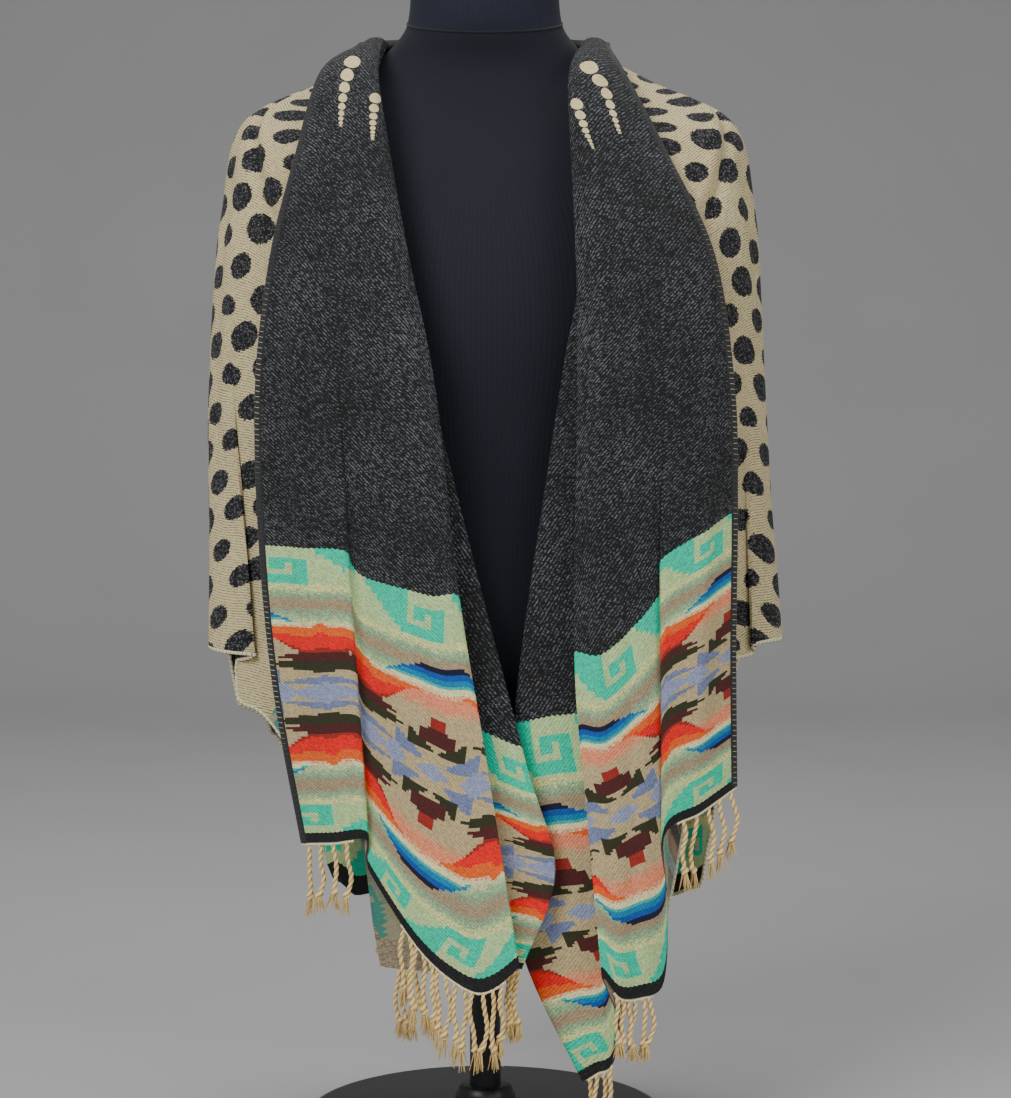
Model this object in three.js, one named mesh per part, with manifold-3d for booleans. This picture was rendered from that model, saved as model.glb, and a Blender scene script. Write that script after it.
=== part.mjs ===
// A long open-front poncho of double-faced blanket cloth, worn on a limbless dress form.
// Millimetres, +Z up, +X towards the wearer's left, -Y towards the front.
// The origin is the centre of the underside of the form's base.

import * as THREE from "three";
import { mergeVertices } from "three/addons/utils/BufferGeometryUtils.js";
import Module from "manifold-3d";

const wasm = await Module();
wasm.setup();

// Cloth
const CLOTH = 2.0; // thickness of the double-faced cloth
const SEAM = 1.1; // slot between two pieces whose edges meet at an angle
const CUT = 0.3; // slot between two pieces that run on in one line
const HANG = 0.6; // slot between a hem and the backing of its fringe
const CLOTH_LIFT = 0.4; // the whole cloth above its table heights, so that it rests on the form

// Lengthwise samples between two levels of the tables, from the neck to the hem
const LENGTH_STEPS = [2, 2, 2, 3, 3, 3, 3];
// Samples between two lines across a front
const ACROSS_STEPS = 2;
// Samples of the body wall from a front opening to the middle of the back
const AROUND_STEPS = 24;
// Samples of the neck roll from a shoulder to the middle of the back
const ROLL_STEPS = 5;

// Dress form: a row for each level, an ellipse with its middle shifted front to back
const FORM_SECTIONS = [
  { z: 296, wide: 140, deep: 88, shift: 4 },
  { z: 304, wide: 147, deep: 93, shift: 4 },
  { z: 360, wide: 150, deep: 96, shift: 4 },
  { z: 430, wide: 138, deep: 92, shift: 3 },
  { z: 500, wide: 126, deep: 88, shift: 0 },
  { z: 570, wide: 140, deep: 94, shift: -2 },
  { z: 640, wide: 160, deep: 102, shift: -5 },
  { z: 700, wide: 172, deep: 95, shift: -4 },
  { z: 760, wide: 184, deep: 76, shift: 0 },
  { z: 794, wide: 182, deep: 62, shift: 4 },
  { z: 819, wide: 160, deep: 50, shift: 7 },
  { z: 839, wide: 119, deep: 42, shift: 9 },
  { z: 856, wide: 88, deep: 42, shift: 9 },
  { z: 874, wide: 68, deep: 48, shift: 8 },
  { z: 893, wide: 60, deep: 53, shift: 8 },
  { z: 938, wide: 58, deep: 54, shift: 8 },
];
const FORM_SIDES = 32;
const CAP = { radius: 52, height: 10, dome: 4, edge: 1, crown: 0.7, shift: 8, sides: 40 };
const POLE = { radius: 12.5, flange: 42, flangeHeight: 8, sides: 24 };
const BASE = { radius: 145, height: 14, bevel: 4, sides: 40 };
const COLLAR = { radius: 26, top: 22, height: 22 };
const REST = 0.3; // slot between two hard pieces that rest on each other

// Fringe
const CORD = { sides: 3, root: 1.1, half: 2.7, fullAt: 0.12, knot: 3.4, knotAt: 0.72, tip: 2.2, sway: 3.5 };
const BACKING = { height: 4, root: 3 };
const STRAND = { vary: 0.08, turn: 2.4 }; // how much one cord's length differs, and its wave from the next
const FLOOR_CLEARANCE = 5;

// Body wall: a row for each level, half an oval open in front. right and left are the
// half-widths of the wearer's two sides, front and back the depths, fore, side and rear the
// heights there down to the chest, and opensRight and opensLeft the angles from straight
// ahead at which each side's cloth begins, in degrees.
const BODY_LEVELS = [
  { right: 84, left: 84, front: 40, back: 76, fore: 862, side: 863, rear: 874, opensRight: 88, opensLeft: 88 },
  { right: 131, left: 133, front: 50, back: 84, fore: 818, side: 838, rear: 858, opensRight: 50, opensLeft: 46 },
  { right: 191, left: 196, front: 83, back: 106, fore: 768, side: 806, rear: 816, opensRight: 31, opensLeft: 29 },
  { right: 207, left: 213, front: 108, back: 122, fore: 697, side: 738, rear: 740, opensRight: 25, opensLeft: 27 },
  { right: 215, left: 218, front: 112, back: 130, opensRight: 20, opensLeft: 27 },
  { right: 220, left: 222, front: 106, back: 136, opensRight: 13, opensLeft: 26 },
  { right: 220, left: 226, front: 100, back: 138, opensRight: 10, opensLeft: 27 },
  { right: 221, left: 231, front: 96, back: 140, opensRight: 9, opensLeft: 28 },
];
const CHEST = 3; // the level below which the cloth hangs straight to its hem
const HANG_SHARE = [0.2, 0.48, 0.74, 1]; // how far down from the chest each lower level lies
const ROUNDNESS = 2.3; // 2 is an ellipse, more is squarer

// Hem of the body wall: heights at angles from straight ahead, for each side
const HEM_RIGHT = [
  { angle: 8, z: 149 },
  { angle: 18, z: 151 },
  { angle: 23, z: 258 },
  { angle: 38, z: 314 },
  { angle: 47, z: 350 },
  { angle: 50, z: 353 },
  { angle: 54, z: 386 },
  { angle: 62, z: 392 },
  { angle: 92, z: 397 },
  { angle: 103, z: 392 },
  { angle: 109, z: 384 },
  { angle: 114, z: 334 },
  { angle: 130, z: 308 },
  { angle: 139, z: 270 },
  { angle: 146, z: 180 },
  { angle: 153, z: 165 },
  { angle: 180, z: 166 },
];
const HEM_LEFT = [
  { angle: 24, z: 126 },
  { angle: 34, z: 190 },
  { angle: 44, z: 306 },
  { angle: 54, z: 388 },
  { angle: 74, z: 400 },
  { angle: 92, z: 402 },
  { angle: 108, z: 392 },
  { angle: 117, z: 382 },
  { angle: 122, z: 330 },
  { angle: 126, z: 226 },
  { angle: 130, z: 178 },
  { angle: 144, z: 165 },
  { angle: 180, z: 166 },
];

// Hanging folds of the body wall: depth outwards at the hem, fading to nothing at the start level
const FOLDS_RIGHT = [
  { angle: 84, spread: 6, depth: -6, from: 3.4 },
  { angle: 104, spread: 6, depth: 5, from: 3 },
  { angle: 121, spread: 6, depth: -12, from: 2.6 },
  { angle: 134, spread: 6, depth: 6, from: 3 },
  { angle: 148, spread: 6, depth: -10, from: 3.4 },
  { angle: 163, spread: 7, depth: 11, from: 2.8 },
];
const FOLDS_LEFT = [
  { angle: 78, spread: 6, depth: 5, from: 3.2 },
  { angle: 98, spread: 6, depth: -9, from: 3.2 },
  { angle: 113, spread: 5, depth: 9, from: 3 },
  { angle: 128, spread: 6, depth: -4, from: 2.8 },
  { angle: 144, spread: 6, depth: 10, from: 2.6 },
  { angle: 158, spread: 6, depth: -8, from: 3.2 },
  { angle: 174, spread: 6, depth: 9, from: 3 },
];

// Fronts: a row for each level from the shoulder to the hem. Each point is the distance
// outwards from the middle, the depth and the height. edge is the free outer edge of the
// turned-back front, crest and rise the two sides of its hanging pleat, fold the inner
// folded edge, and lip the edge of the strip that shows beyond it. dip lowers the middle.
const FRONT_RIGHT = [
  { edge: [126, -40, 843], crest: [110, -55, 845], rise: [106, -57, 845], fold: [82, -60, 838], lip: [86, -48, 829], dip: 0 },
  { edge: [143, -80, 777], crest: [114, -95, 778], rise: [108, -97, 778], fold: [72, -96, 775], lip: [80, -82, 772], dip: 0 },
  { edge: [161, -104, 698], crest: [116, -123, 698], rise: [108, -126, 698], fold: [57, -126, 697], lip: [64, -108, 697], dip: 0 },
  { edge: [172, -112, 599], crest: [112, -136, 600], rise: [102, -138, 598], fold: [37, -138, 599], lip: [40, -116, 596], dip: 0 },
  { edge: [170, -110, 481], crest: [106, -138, 479], rise: [91, -131, 459], fold: [19, -146, 443], lip: [-26, -130, 330], dip: 2 },
  { edge: [160, -104, 367], crest: [98, -132, 370], rise: [86, -123, 340], fold: [-5, -150, 300], lip: [-51, -134, 235], dip: 8 },
  { edge: [140, -98, 250], crest: [90, -124, 257], rise: [83, -118, 224], fold: [-26, -152, 164], lip: [-28, -136, 160], dip: 36 },
];
const FRONT_LEFT = [
  { edge: [107, -42, 845], crest: [92, -57, 846], rise: [88, -59, 846], fold: [66, -62, 841], lip: [74, -50, 831], dip: 0 },
  { edge: [139, -80, 778], crest: [108, -95, 779], rise: [102, -97, 779], fold: [67, -96, 775], lip: [74, -82, 772], dip: 0 },
  { edge: [174, -104, 699], crest: [131, -123, 699], rise: [123, -126, 698], fold: [70, -126, 697], lip: [76, -108, 697], dip: 0 },
  { edge: [189, -110, 599], crest: [138, -134, 599], rise: [131, -136, 598], fold: [71, -136, 599], lip: [58, -116, 596], dip: 0 },
  { edge: [192, -106, 508], crest: [135, -133, 473], rise: [134, -127, 448], fold: [69, -140, 402], lip: [25, -113, 346], dip: 14 },
  { edge: [192, -98, 399], crest: [136, -130, 368], rise: [136, -122, 298], fold: [79, -142, 273], lip: [26, -113, 190], dip: 6 },
  { edge: [194, -92, 293], crest: [137, -124, 260], rise: [137, -118, 146], fold: [90, -144, 155], lip: [76, -115, 68], dip: 13 },
];
// The side pleat of the body wall: its place round the wall, its half-width, how far the cloth
// doubles back in degrees, and how far apart its layers lie, growing from a level to the hem.
const PLEAT_RIGHT = { turn: 0.276, half: 0.035, sweep: 11, apart: 6, from: 3.7 };
const PLEAT_LEFT = { turn: 0.24, half: 0.035, sweep: 7, apart: 5, from: 4.4 };
const PLEAT_STEPS = 8; // extra samples across a pleat

const FLAP_BULGE = 4; // how far the outer part of a front swells
const PANEL_BULGE = 5; // how far its middle swells
const PANEL = { near: 0.35, far: 0.72, dip: 0.9 }; // places across the middle, and the near one's share of the dip
const TUCK = { back: 4, out: 3 }; // the bottom of the pleat behind its crest, at full depth
const TURN = { out: 12, back: 6 }; // the folded edge's roll
const START = { out: 8, back: 14, fall: 0.8 }; // where the strip begins behind the fold
const HIDE = { out: 10, back: 5, fall: 0.1 }; // the strip's edge turning under

const NECK_SQUEEZE = 1.2; // how much more the neck roll leans to the front and back than to the sides

// Neck roll: the section of the turned-back edge round the neck, from its outer edge to the
// neckline. out is away from the neck and up is above the neckline.
const NECK_SECTION = {
  edge: { out: 14, up: 2 },
  flap: { out: 13, up: 5 },
  crest: { out: 11, up: 7 },
  tuck: { out: 8, up: 9 },
  rise: { out: 6, up: 10 },
  panel: { out: 3, up: 10.5 },
  belly: { out: 0, up: 10.5 },
  fold: { out: -3, up: 9.5 },
  turn: { out: -5, up: 8 },
  start: { out: -6, up: 6.5 },
  web: { out: -6, up: 5 },
  lip: { out: -5, up: 3.5 },
  hide: { out: -3, up: 1.8 },
  under: { out: 0, up: 0 },
};
const LINES = Object.keys(NECK_SECTION);

const point = (x, y, z) => new THREE.Vector3(x, y, z);
const radians = THREE.MathUtils.degToRad;
const lerp = THREE.MathUtils.lerp;

// A value read from a table of rows in rising order of one column, eased between rows.
function readTable(rows, key, value, at) {
  if (at <= rows[0][key]) return rows[0][value];
  const next = rows.findIndex((row) => row[key] >= at);
  if (next < 0) return rows[rows.length - 1][value];
  const [a, b] = [rows[next - 1], rows[next]];
  const share = (at - a[key]) / (b[key] - a[key]);
  return lerp(a[value], b[value], share * share * (3 - 2 * share));
}

// A smooth run through a few numbers, read at a place between the first and the last.
function runThrough(numbers, at) {
  const last = numbers.length - 1;
  const i = Math.min(Math.floor(at), last - 1);
  const pick = (k) => numbers[Math.max(0, Math.min(last, k))];
  const t = at - i;
  const slopeA = (pick(i + 1) - pick(i - 1)) / 2;
  const slopeB = (pick(i + 2) - pick(i)) / 2;
  const t2 = t * t;
  const t3 = t2 * t;
  const start = (2 * t3 - 3 * t2 + 1) * numbers[i] + (t3 - 2 * t2 + t) * slopeA;
  return start + (3 * t2 - 2 * t3) * numbers[i + 1] + (t3 - t2) * slopeB;
}

// Places along the length, as level numbers, from the neck to the hem.
function lengthPlaces() {
  const places = [0];
  LENGTH_STEPS.forEach((steps, level) => {
    for (let k = 1; k <= steps; k++) places.push(level + k / steps);
  });
  return places;
}

// One point of the body wall. turn goes from 0 at the opening to 1 at the middle of the back.
function bodyPoint(side, turn, level) {
  const read = (key) => runThrough(BODY_LEVELS.map((row) => row[key]), level);
  const opens = read(side < 0 ? "opensRight" : "opensLeft");
  const hem = side < 0 ? HEM_RIGHT : HEM_LEFT;
  const folds = side < 0 ? FOLDS_RIGHT : FOLDS_LEFT;
  const pleat = side < 0 ? PLEAT_RIGHT : PLEAT_LEFT;
  const laid = lerp(opens, 180, turn); // the angle with the pleat pulled out flat
  const pleated = Math.max(0, (level - pleat.from) / (7 - pleat.from));
  const within = (turn - pleat.turn) / pleat.half;
  const angle = laid - pleated * pleat.sweep * within * Math.exp((1 - within ** 2) / 2);
  const sine = Math.sin(radians(angle));
  const cosine = Math.cos(radians(angle));
  const power = 2 / ROUNDNESS;
  const depth = cosine > 0 ? read("front") : read("back");
  let out = read(side < 0 ? "right" : "left") * Math.abs(sine) ** power;
  let back = -depth * Math.sign(cosine) * Math.abs(cosine) ** power;
  const z = bodyHeight(hem, laid, cosine, level);
  const layer = pleated * pleat.apart * Math.tanh(within) * Math.exp(-(((within / 5)) ** 2));
  const swell = folds.reduce((sum, fold) => {
    const near = Math.exp(-(((laid - fold.angle) / fold.spread) ** 2));
    const grown = Math.max(0, (level - fold.from) / (7 - fold.from));
    return sum + fold.depth * near * grown;
  }, layer);
  out += swell * sine;
  back -= swell * cosine;
  return point(side * out, back, z + CLOTH_LIFT);
}

// Height of a body point: from the level table down to the chest, then straight to the hem.
function bodyHeight(hem, angle, cosine, level) {
  const across = cosine * cosine;
  const atLevel = (row) => lerp(row.side, cosine > 0 ? row.fore : row.rear, across);
  const heights = BODY_LEVELS.slice(0, CHEST + 1).map(atLevel);
  const chest = heights[CHEST];
  const low = readTable(hem, "angle", "z", angle);
  HANG_SHARE.forEach((share) => heights.push(lerp(chest, low, share)));
  return runThrough(heights, level);
}

// One point of the neck roll's section at a turn round the neckline.
function neckPoint(side, turn, line) {
  const at = bodyPoint(side, turn, 0);
  const away = point(at.x, at.y * NECK_SQUEEZE, 0).normalize();
  const { out, up } = NECK_SECTION[line];
  return at.addScaledVector(away, out).add(point(0, 0, up));
}

// The lines across a front at one level, worked out from a row of its table.
function frontLines(row, level, side) {
  const at = ([x, y, z]) => point(x, y, z + CLOTH_LIFT);
  const [edge, crest, rise, fold, lip] = [row.edge, row.crest, row.rise, row.fold, row.lip].map(at);
  const grown = Math.min(1, Math.max(0, (level - 3) / 3));
  const flap = edge.clone().lerp(crest, 0.5).add(point(0, -FLAP_BULGE, 0));
  const tuck = crest.clone().lerp(rise, 0.5).add(point(TUCK.out * grown, TUCK.back * grown, 0));
  const panel = rise.clone().lerp(fold, PANEL.near).add(point(0, -PANEL_BULGE, -row.dip * PANEL.dip));
  const belly = rise.clone().lerp(fold, PANEL.far).add(point(0, -PANEL_BULGE, -row.dip));
  const turn = fold.clone().add(point(TURN.out, TURN.back, 0));
  const start = fold.clone().add(point(START.out, START.back, 0));
  turn.z = lerp(fold.z, lip.z, START.fall / 2);
  start.z = lerp(fold.z, lip.z, START.fall);
  const web = start.clone().lerp(lip, 0.5);
  const hide = lip.clone().add(point(HIDE.out, HIDE.back, 0));
  const under = bodyPoint(side, 0, level);
  under.x *= side;
  hide.z = lerp(lip.z, under.z, HIDE.fall);
  return { edge, flap, crest, tuck, rise, panel, belly, fold, turn, start, web, lip, hide, under };
}

// Points of one front: a column for each sample across, a row for each place along the length.
function frontGrid(side, table) {
  const levels = [null, ...table];
  const controls = LINES.map((line) =>
    levels.map((row, level) => {
      if (level === 0) return neckPoint(side, 0, line);
      const made = frontLines(row, level, side)[line];
      made.x *= side;
      return made;
    }),
  );
  const along = controls.map((run) =>
    lengthPlaces().map((place) =>
      point(...["x", "y", "z"].map((axis) => runThrough(run.map((p) => p[axis]), place))),
    ),
  );
  along[along.length - 1] = lengthPlaces().map((place) => bodyPoint(side, 0, place));
  return spreadAcross(along);
}

// Columns between the given lines, on a smooth curve through each row.
function spreadAcross(lines) {
  const count = (lines.length - 1) * ACROSS_STEPS;
  return Array.from({ length: count + 1 }, (_, i) =>
    lines[0].map((_, j) => {
      const row = lines.map((line) => line[j]);
      const axes = ["x", "y", "z"].map((axis) => row.map((p) => p[axis]));
      return point(...axes.map((numbers) => runThrough(numbers, i / ACROSS_STEPS)));
    }),
  );
}

// Half of the neck roll: rows from the shoulder to the middle of the back.
function rollGrid(side) {
  const turns = Array.from({ length: ROLL_STEPS + 1 }, (_, k) => k / ROLL_STEPS);
  const lines = LINES.map((line) => turns.map((turn) => neckPoint(side, turn, line)));
  return spreadAcross(lines);
}

// Turns from a front opening to the middle of the back, closer together across the pleat.
function turnPlaces(side) {
  const pleat = side < 0 ? PLEAT_RIGHT : PLEAT_LEFT;
  const even = Array.from({ length: AROUND_STEPS + 1 }, (_, i) => i / AROUND_STEPS);
  const reach = 2.5 * pleat.half;
  const clear = even.filter((turn) => Math.abs(turn - pleat.turn) > reach);
  const steps = even.length - clear.length + PLEAT_STEPS;
  const close = Array.from({ length: steps }, (_, k) => (2 * (k + 0.5)) / steps - 1);
  return [...clear, ...close.map((k) => pleat.turn + k * reach)].sort((a, b) => a - b);
}

// The body wall's columns, from one front opening round the back to the other.
function bodyGrid() {
  const half = (side) =>
    turnPlaces(side).map((turn) => lengthPlaces().map((place) => bodyPoint(side, turn, place)));
  return [...half(-1), ...half(1).reverse().slice(1)];
}

// Unit normals of a grid, by the neighbours of each point.
function gridNormals(grid) {
  return grid.map((column, i) =>
    column.map((_, j) => {
      const left = grid[Math.max(0, i - 1)][j];
      const right = grid[Math.min(grid.length - 1, i + 1)][j];
      const above = column[Math.max(0, j - 1)];
      const below = column[Math.min(column.length - 1, j + 1)];
      const across = right.clone().sub(left);
      const down = below.clone().sub(above);
      return across.cross(down).normalize();
    }),
  );
}

// Moves one side of a grid towards its neighbour, to leave a slot.
function trimmed(grid, where, slot) {
  const last = grid.length - 1;
  const low = grid[0].length - 1;
  const pull = (p, q) => p.clone().add(q.clone().sub(p).setLength(slot));
  return grid.map((column, i) =>
    column.map((p, j) => {
      if (where === "first" && i === 0) return pull(p, grid[1][j]);
      if (where === "last" && i === last) return pull(p, grid[last - 1][j]);
      if (where === "top" && j === 0) return pull(p, column[1]);
      if (where === "bottom" && j === low) return pull(p, column[low - 1]);
      return p;
    }),
  );
}

// A closed wall of even thickness on a grid of points and their normals.
function wallGeometry(grid, normals, thickness = CLOTH) {
  const columns = grid.length;
  const rows = grid[0].length;
  const skin = (sign) =>
    grid.flatMap((column, i) =>
      column.map((p, j) => p.clone().addScaledVector(normals[i][j], (sign * thickness) / 2)),
    );
  const points = [...skin(1), ...skin(-1)];
  const under = columns * rows;
  const at = (i, j) => i * rows + j;
  const faces = [];
  const quad = (a, b, c, d) => faces.push(a, b, c, a, c, d);
  for (let i = 0; i + 1 < columns; i++) {
    for (let j = 0; j + 1 < rows; j++) {
      const [a, b, c, d] = [at(i, j), at(i + 1, j), at(i + 1, j + 1), at(i, j + 1)];
      quad(a, b, c, d);
      quad(under + d, under + c, under + b, under + a);
    }
    const [topA, topB] = [at(i, 0), at(i + 1, 0)];
    const [lowA, lowB] = [at(i, rows - 1), at(i + 1, rows - 1)];
    quad(topB, topA, under + topA, under + topB);
    quad(lowA, lowB, under + lowB, under + lowA);
  }
  for (let j = 0; j + 1 < rows; j++) {
    const [firstA, firstB] = [at(0, j), at(0, j + 1)];
    const [lastA, lastB] = [at(columns - 1, j), at(columns - 1, j + 1)];
    quad(firstA, firstB, under + firstB, under + firstA);
    quad(lastB, lastA, under + lastA, under + lastB);
  }
  return geometryOf(points, faces);
}

// A buffer geometry from points and corner numbers, turned to face outwards.
function geometryOf(points, faces) {
  let volume = 0;
  for (let k = 0; k < faces.length; k += 3) {
    const [a, b, c] = [points[faces[k]], points[faces[k + 1]], points[faces[k + 2]]];
    volume += a.dot(b.clone().cross(c));
  }
  const index = volume > 0 ? faces : [...faces].reverse();
  const geometry = new THREE.BufferGeometry();
  geometry.setAttribute(
    "position",
    new THREE.Float32BufferAttribute(points.flatMap((p) => [p.x, p.y, p.z]), 3),
  );
  geometry.setIndex(index);
  return geometry;
}

// A manifold solid of a closed geometry.
function solidOf(geometry) {
  const bare = geometry.clone();
  bare.deleteAttribute("normal");
  bare.deleteAttribute("uv");
  const merged = mergeVertices(bare, 1e-4);
  return new wasm.Manifold(
    new wasm.Mesh({
      numProp: 3,
      vertProperties: new Float32Array(merged.attributes.position.array),
      triVerts: new Uint32Array(merged.index.array),
    }),
  );
}

// The geometry of a manifold solid.
function geometryOfSolid(solid) {
  const mesh = solid.getMesh();
  const geometry = new THREE.BufferGeometry();
  geometry.setAttribute("position", new THREE.BufferAttribute(mesh.vertProperties, 3));
  geometry.setIndex(new THREE.BufferAttribute(mesh.triVerts, 1));
  return geometry;
}

// A cord of a few sides down a run of points with a half-width at each.
function cordGeometry(run, halves) {
  const sides = CORD.sides;
  const points = [];
  run.forEach((p, k) => {
    for (let corner = 0; corner < sides; corner++) {
      const angle = radians(90 + (360 * corner) / sides);
      points.push(point(p.x + halves[k] * Math.cos(angle), p.y + halves[k] * Math.sin(angle), p.z));
    }
  });
  const faces = [];
  for (let k = 0; k + 1 < run.length; k++) {
    for (let corner = 0; corner < sides; corner++) {
      const [a, b] = [sides * k + corner, sides * k + ((corner + 1) % sides)];
      faces.push(a, b, b + sides, a, b + sides, a + sides);
    }
  }
  const end = sides * (run.length - 1);
  for (let corner = 1; corner + 1 < sides; corner++) {
    faces.push(corner + 1, corner, 0, end, end + corner, end + corner + 1);
  }
  return geometryOf(points, faces);
}

// A place along a hem, and the direction square to the hem that runs on in the cloth's plane.
function alongHem(grid, normals, column) {
  const low = grid[0].length - 1;
  const i = Math.min(Math.floor(column), grid.length - 2);
  const share = column - i;
  const at = (k) => grid[Math.max(0, Math.min(grid.length - 1, k))][low];
  const place = at(i).clone().lerp(at(i + 1), share);
  const along = at(i + 1 + Math.round(share)).clone().sub(at(i - 1 + Math.round(share)));
  const normal = normals[i][low].clone().lerp(normals[i + 1][low], share);
  const down = along.cross(normal).normalize();
  if (down.z > 0) down.negate();
  return { place, down };
}

// A fringe: a narrow backing below the hem, and knotted cords that hang from it.
function fringeGeometry(grid, normals, from, to, strands, length) {
  const low = grid[0].length - 1;
  const reach = (column, distance) => {
    const { place, down } = alongHem(grid, normals, column);
    return place.addScaledVector(down, distance);
  };
  const first = Math.ceil(from);
  const last = Math.floor(to);
  const columns = Array.from({ length: last - first + 1 }, (_, k) => first + k);
  const strip = columns.map((i) => [HANG, HANG + BACKING.height].map((d) => reach(i, d)));
  const stripNormals = columns.map((i) => [normals[i][low], normals[i][low]]);
  let solid = solidOf(wallGeometry(strip, stripNormals));
  for (let k = 0; k < strands; k++) {
    const root = reach(lerp(first, last, (k + 0.5) / strands), HANG + BACKING.root);
    const wave = Math.sin(k * STRAND.turn + from);
    const reached = Math.min(length * (1 + STRAND.vary * wave), root.z - FLOOR_CLEARANCE);
    const hang = (part, side) => root.clone().add(point(side * wave, 0, -reached * part));
    const run = [root, hang(CORD.fullAt, 0), hang(CORD.knotAt, CORD.sway), hang(1, -CORD.sway / 2)];
    solid = solid.add(solidOf(cordGeometry(run, [CORD.root, CORD.half, CORD.knot, CORD.tip])));
  }
  return geometryOfSolid(solid);
}

// The dress form's body: ellipses through the smoothed section table, closed at both ends.
function formGeometry() {
  const points = [];
  FORM_SECTIONS.forEach(({ z, wide, deep, shift }) => {
    for (let k = 0; k < FORM_SIDES; k++) {
      const angle = (2 * Math.PI * k) / FORM_SIDES;
      points.push(point(wide * Math.cos(angle), shift + deep * Math.sin(angle), z));
    }
  });
  const faces = [];
  const rings = FORM_SECTIONS.length;
  for (let ring = 0; ring + 1 < rings; ring++) {
    for (let k = 0; k < FORM_SIDES; k++) {
      const [a, b] = [ring * FORM_SIDES + k, ring * FORM_SIDES + ((k + 1) % FORM_SIDES)];
      faces.push(a, b, b + FORM_SIDES, a, b + FORM_SIDES, a + FORM_SIDES);
    }
  }
  const top = (rings - 1) * FORM_SIDES;
  for (let k = 1; k + 1 < FORM_SIDES; k++) {
    faces.push(0, k + 1, k, top, top + k, top + k + 1);
  }
  return geometryOf(points, faces);
}

// A turned piece standing on +Z, from a profile of radius and height pairs.
function turned(profile, sides) {
  const geometry = new THREE.LatheGeometry(profile.map(([r, z]) => new THREE.Vector2(r, z)), sides);
  geometry.rotateX(Math.PI / 2);
  return geometry;
}

const group = new THREE.Group();

// Adds a named mesh with its own material.
function add(name, geometry, color, roughness, metalness = 0) {
  const material = new THREE.MeshStandardMaterial({ color, roughness, metalness });
  const mesh = new THREE.Mesh(geometry, material);
  mesh.name = name;
  group.add(mesh);
  return mesh;
}

// Form and stand
const formTop = FORM_SECTIONS[FORM_SECTIONS.length - 1].z;
const formFoot = FORM_SECTIONS[0].z;
add("form_body", formGeometry(), 0x14151a, 0.9);

const capProfile = [
  [0, 0],
  [CAP.radius - CAP.edge, 0],
  [CAP.radius, CAP.edge],
  [CAP.radius, CAP.height - CAP.dome],
  [CAP.radius * CAP.crown, CAP.height - CAP.edge],
  [0, CAP.height],
];
add("neck_cap", turned(capProfile, CAP.sides), 0x16161a, 0.6).position.set(0, CAP.shift, formTop + REST);

const poleTop = formFoot - REST;
const poleFoot = BASE.height + REST;
const poleProfile = [
  [0, poleFoot],
  [POLE.radius, poleFoot],
  [POLE.radius, poleTop - POLE.flangeHeight],
  [POLE.flange, poleTop - POLE.flangeHeight],
  [POLE.flange, poleTop],
  [0, poleTop],
];
add("stand_pole", turned(poleProfile, POLE.sides), 0x2a2b2e, 0.35, 0.8);

const baseProfile = [
  [0, 0],
  [BASE.radius - BASE.bevel, 0],
  [BASE.radius, BASE.bevel],
  [BASE.radius, BASE.height - BASE.bevel],
  [BASE.radius - BASE.bevel, BASE.height],
  [0, BASE.height],
];
add("stand_base", turned(baseProfile, BASE.sides), 0x1c1d20, 0.45, 0.6);

const collarProfile = [
  [POLE.radius + REST, BASE.height + REST],
  [COLLAR.radius, BASE.height + REST],
  [COLLAR.top, BASE.height + COLLAR.height],
  [POLE.radius + REST, BASE.height + COLLAR.height],
  [POLE.radius + REST, BASE.height + REST],
];
add("stand_collar", turned(collarProfile, POLE.sides), 0x1c1d20, 0.45, 0.6);

// Cloth
const CHARCOAL = 0x2c2d30;
const BEIGE = 0xb9ab92;
const body = bodyGrid();
const bodyNormals = gridNormals(body);
const openBody = trimmed(trimmed(body, "first", SEAM / 2), "last", SEAM / 2);
add("back_and_sides", wallGeometry(trimmed(openBody, "top", SEAM / 2), bodyNormals), BEIGE, 0.95);

// A front and its half of the neck roll share one run of points, so that their normals agree.
function frontAndRoll(side, table) {
  const front = frontGrid(side, table);
  const roll = rollGrid(side);
  const joined = front.map((column, i) => [...[...roll[i]].reverse().slice(0, -1), ...column]);
  const normals = gridNormals(joined);
  const cut = roll[0].length - 1;
  return {
    front,
    roll: joined.map((column) => column.slice(0, cut + 1)),
    frontNormals: normals.map((column) => column.slice(cut)),
    rollNormals: normals.map((column) => column.slice(0, cut + 1)),
  };
}

const right = frontAndRoll(-1, FRONT_RIGHT);
const left = frontAndRoll(1, FRONT_LEFT);
for (const [name, made] of [["right_front", right], ["left_front", left]]) {
  const cloth = trimmed(trimmed(made.front, "top", CUT / 2), "last", SEAM / 2);
  add(name, wallGeometry(cloth, made.frontNormals), CHARCOAL, 0.95);
}

// The neck roll runs from one shoulder round the back to the other.
const rollPoints = right.roll.map((column, i) => [
  ...[...column].reverse(),
  ...left.roll[i].slice(1),
]);
const rollNormals = right.rollNormals.map((column, i) => [
  ...[...column].reverse(),
  ...left.rollNormals[i].slice(1).map((n) => n.clone().negate()),
]);
const openRoll = trimmed(trimmed(rollPoints, "top", CUT / 2), "bottom", CUT / 2);
add("neck_roll", wallGeometry(trimmed(openRoll, "last", SEAM / 2), rollNormals), CHARCOAL, 0.95);

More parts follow.
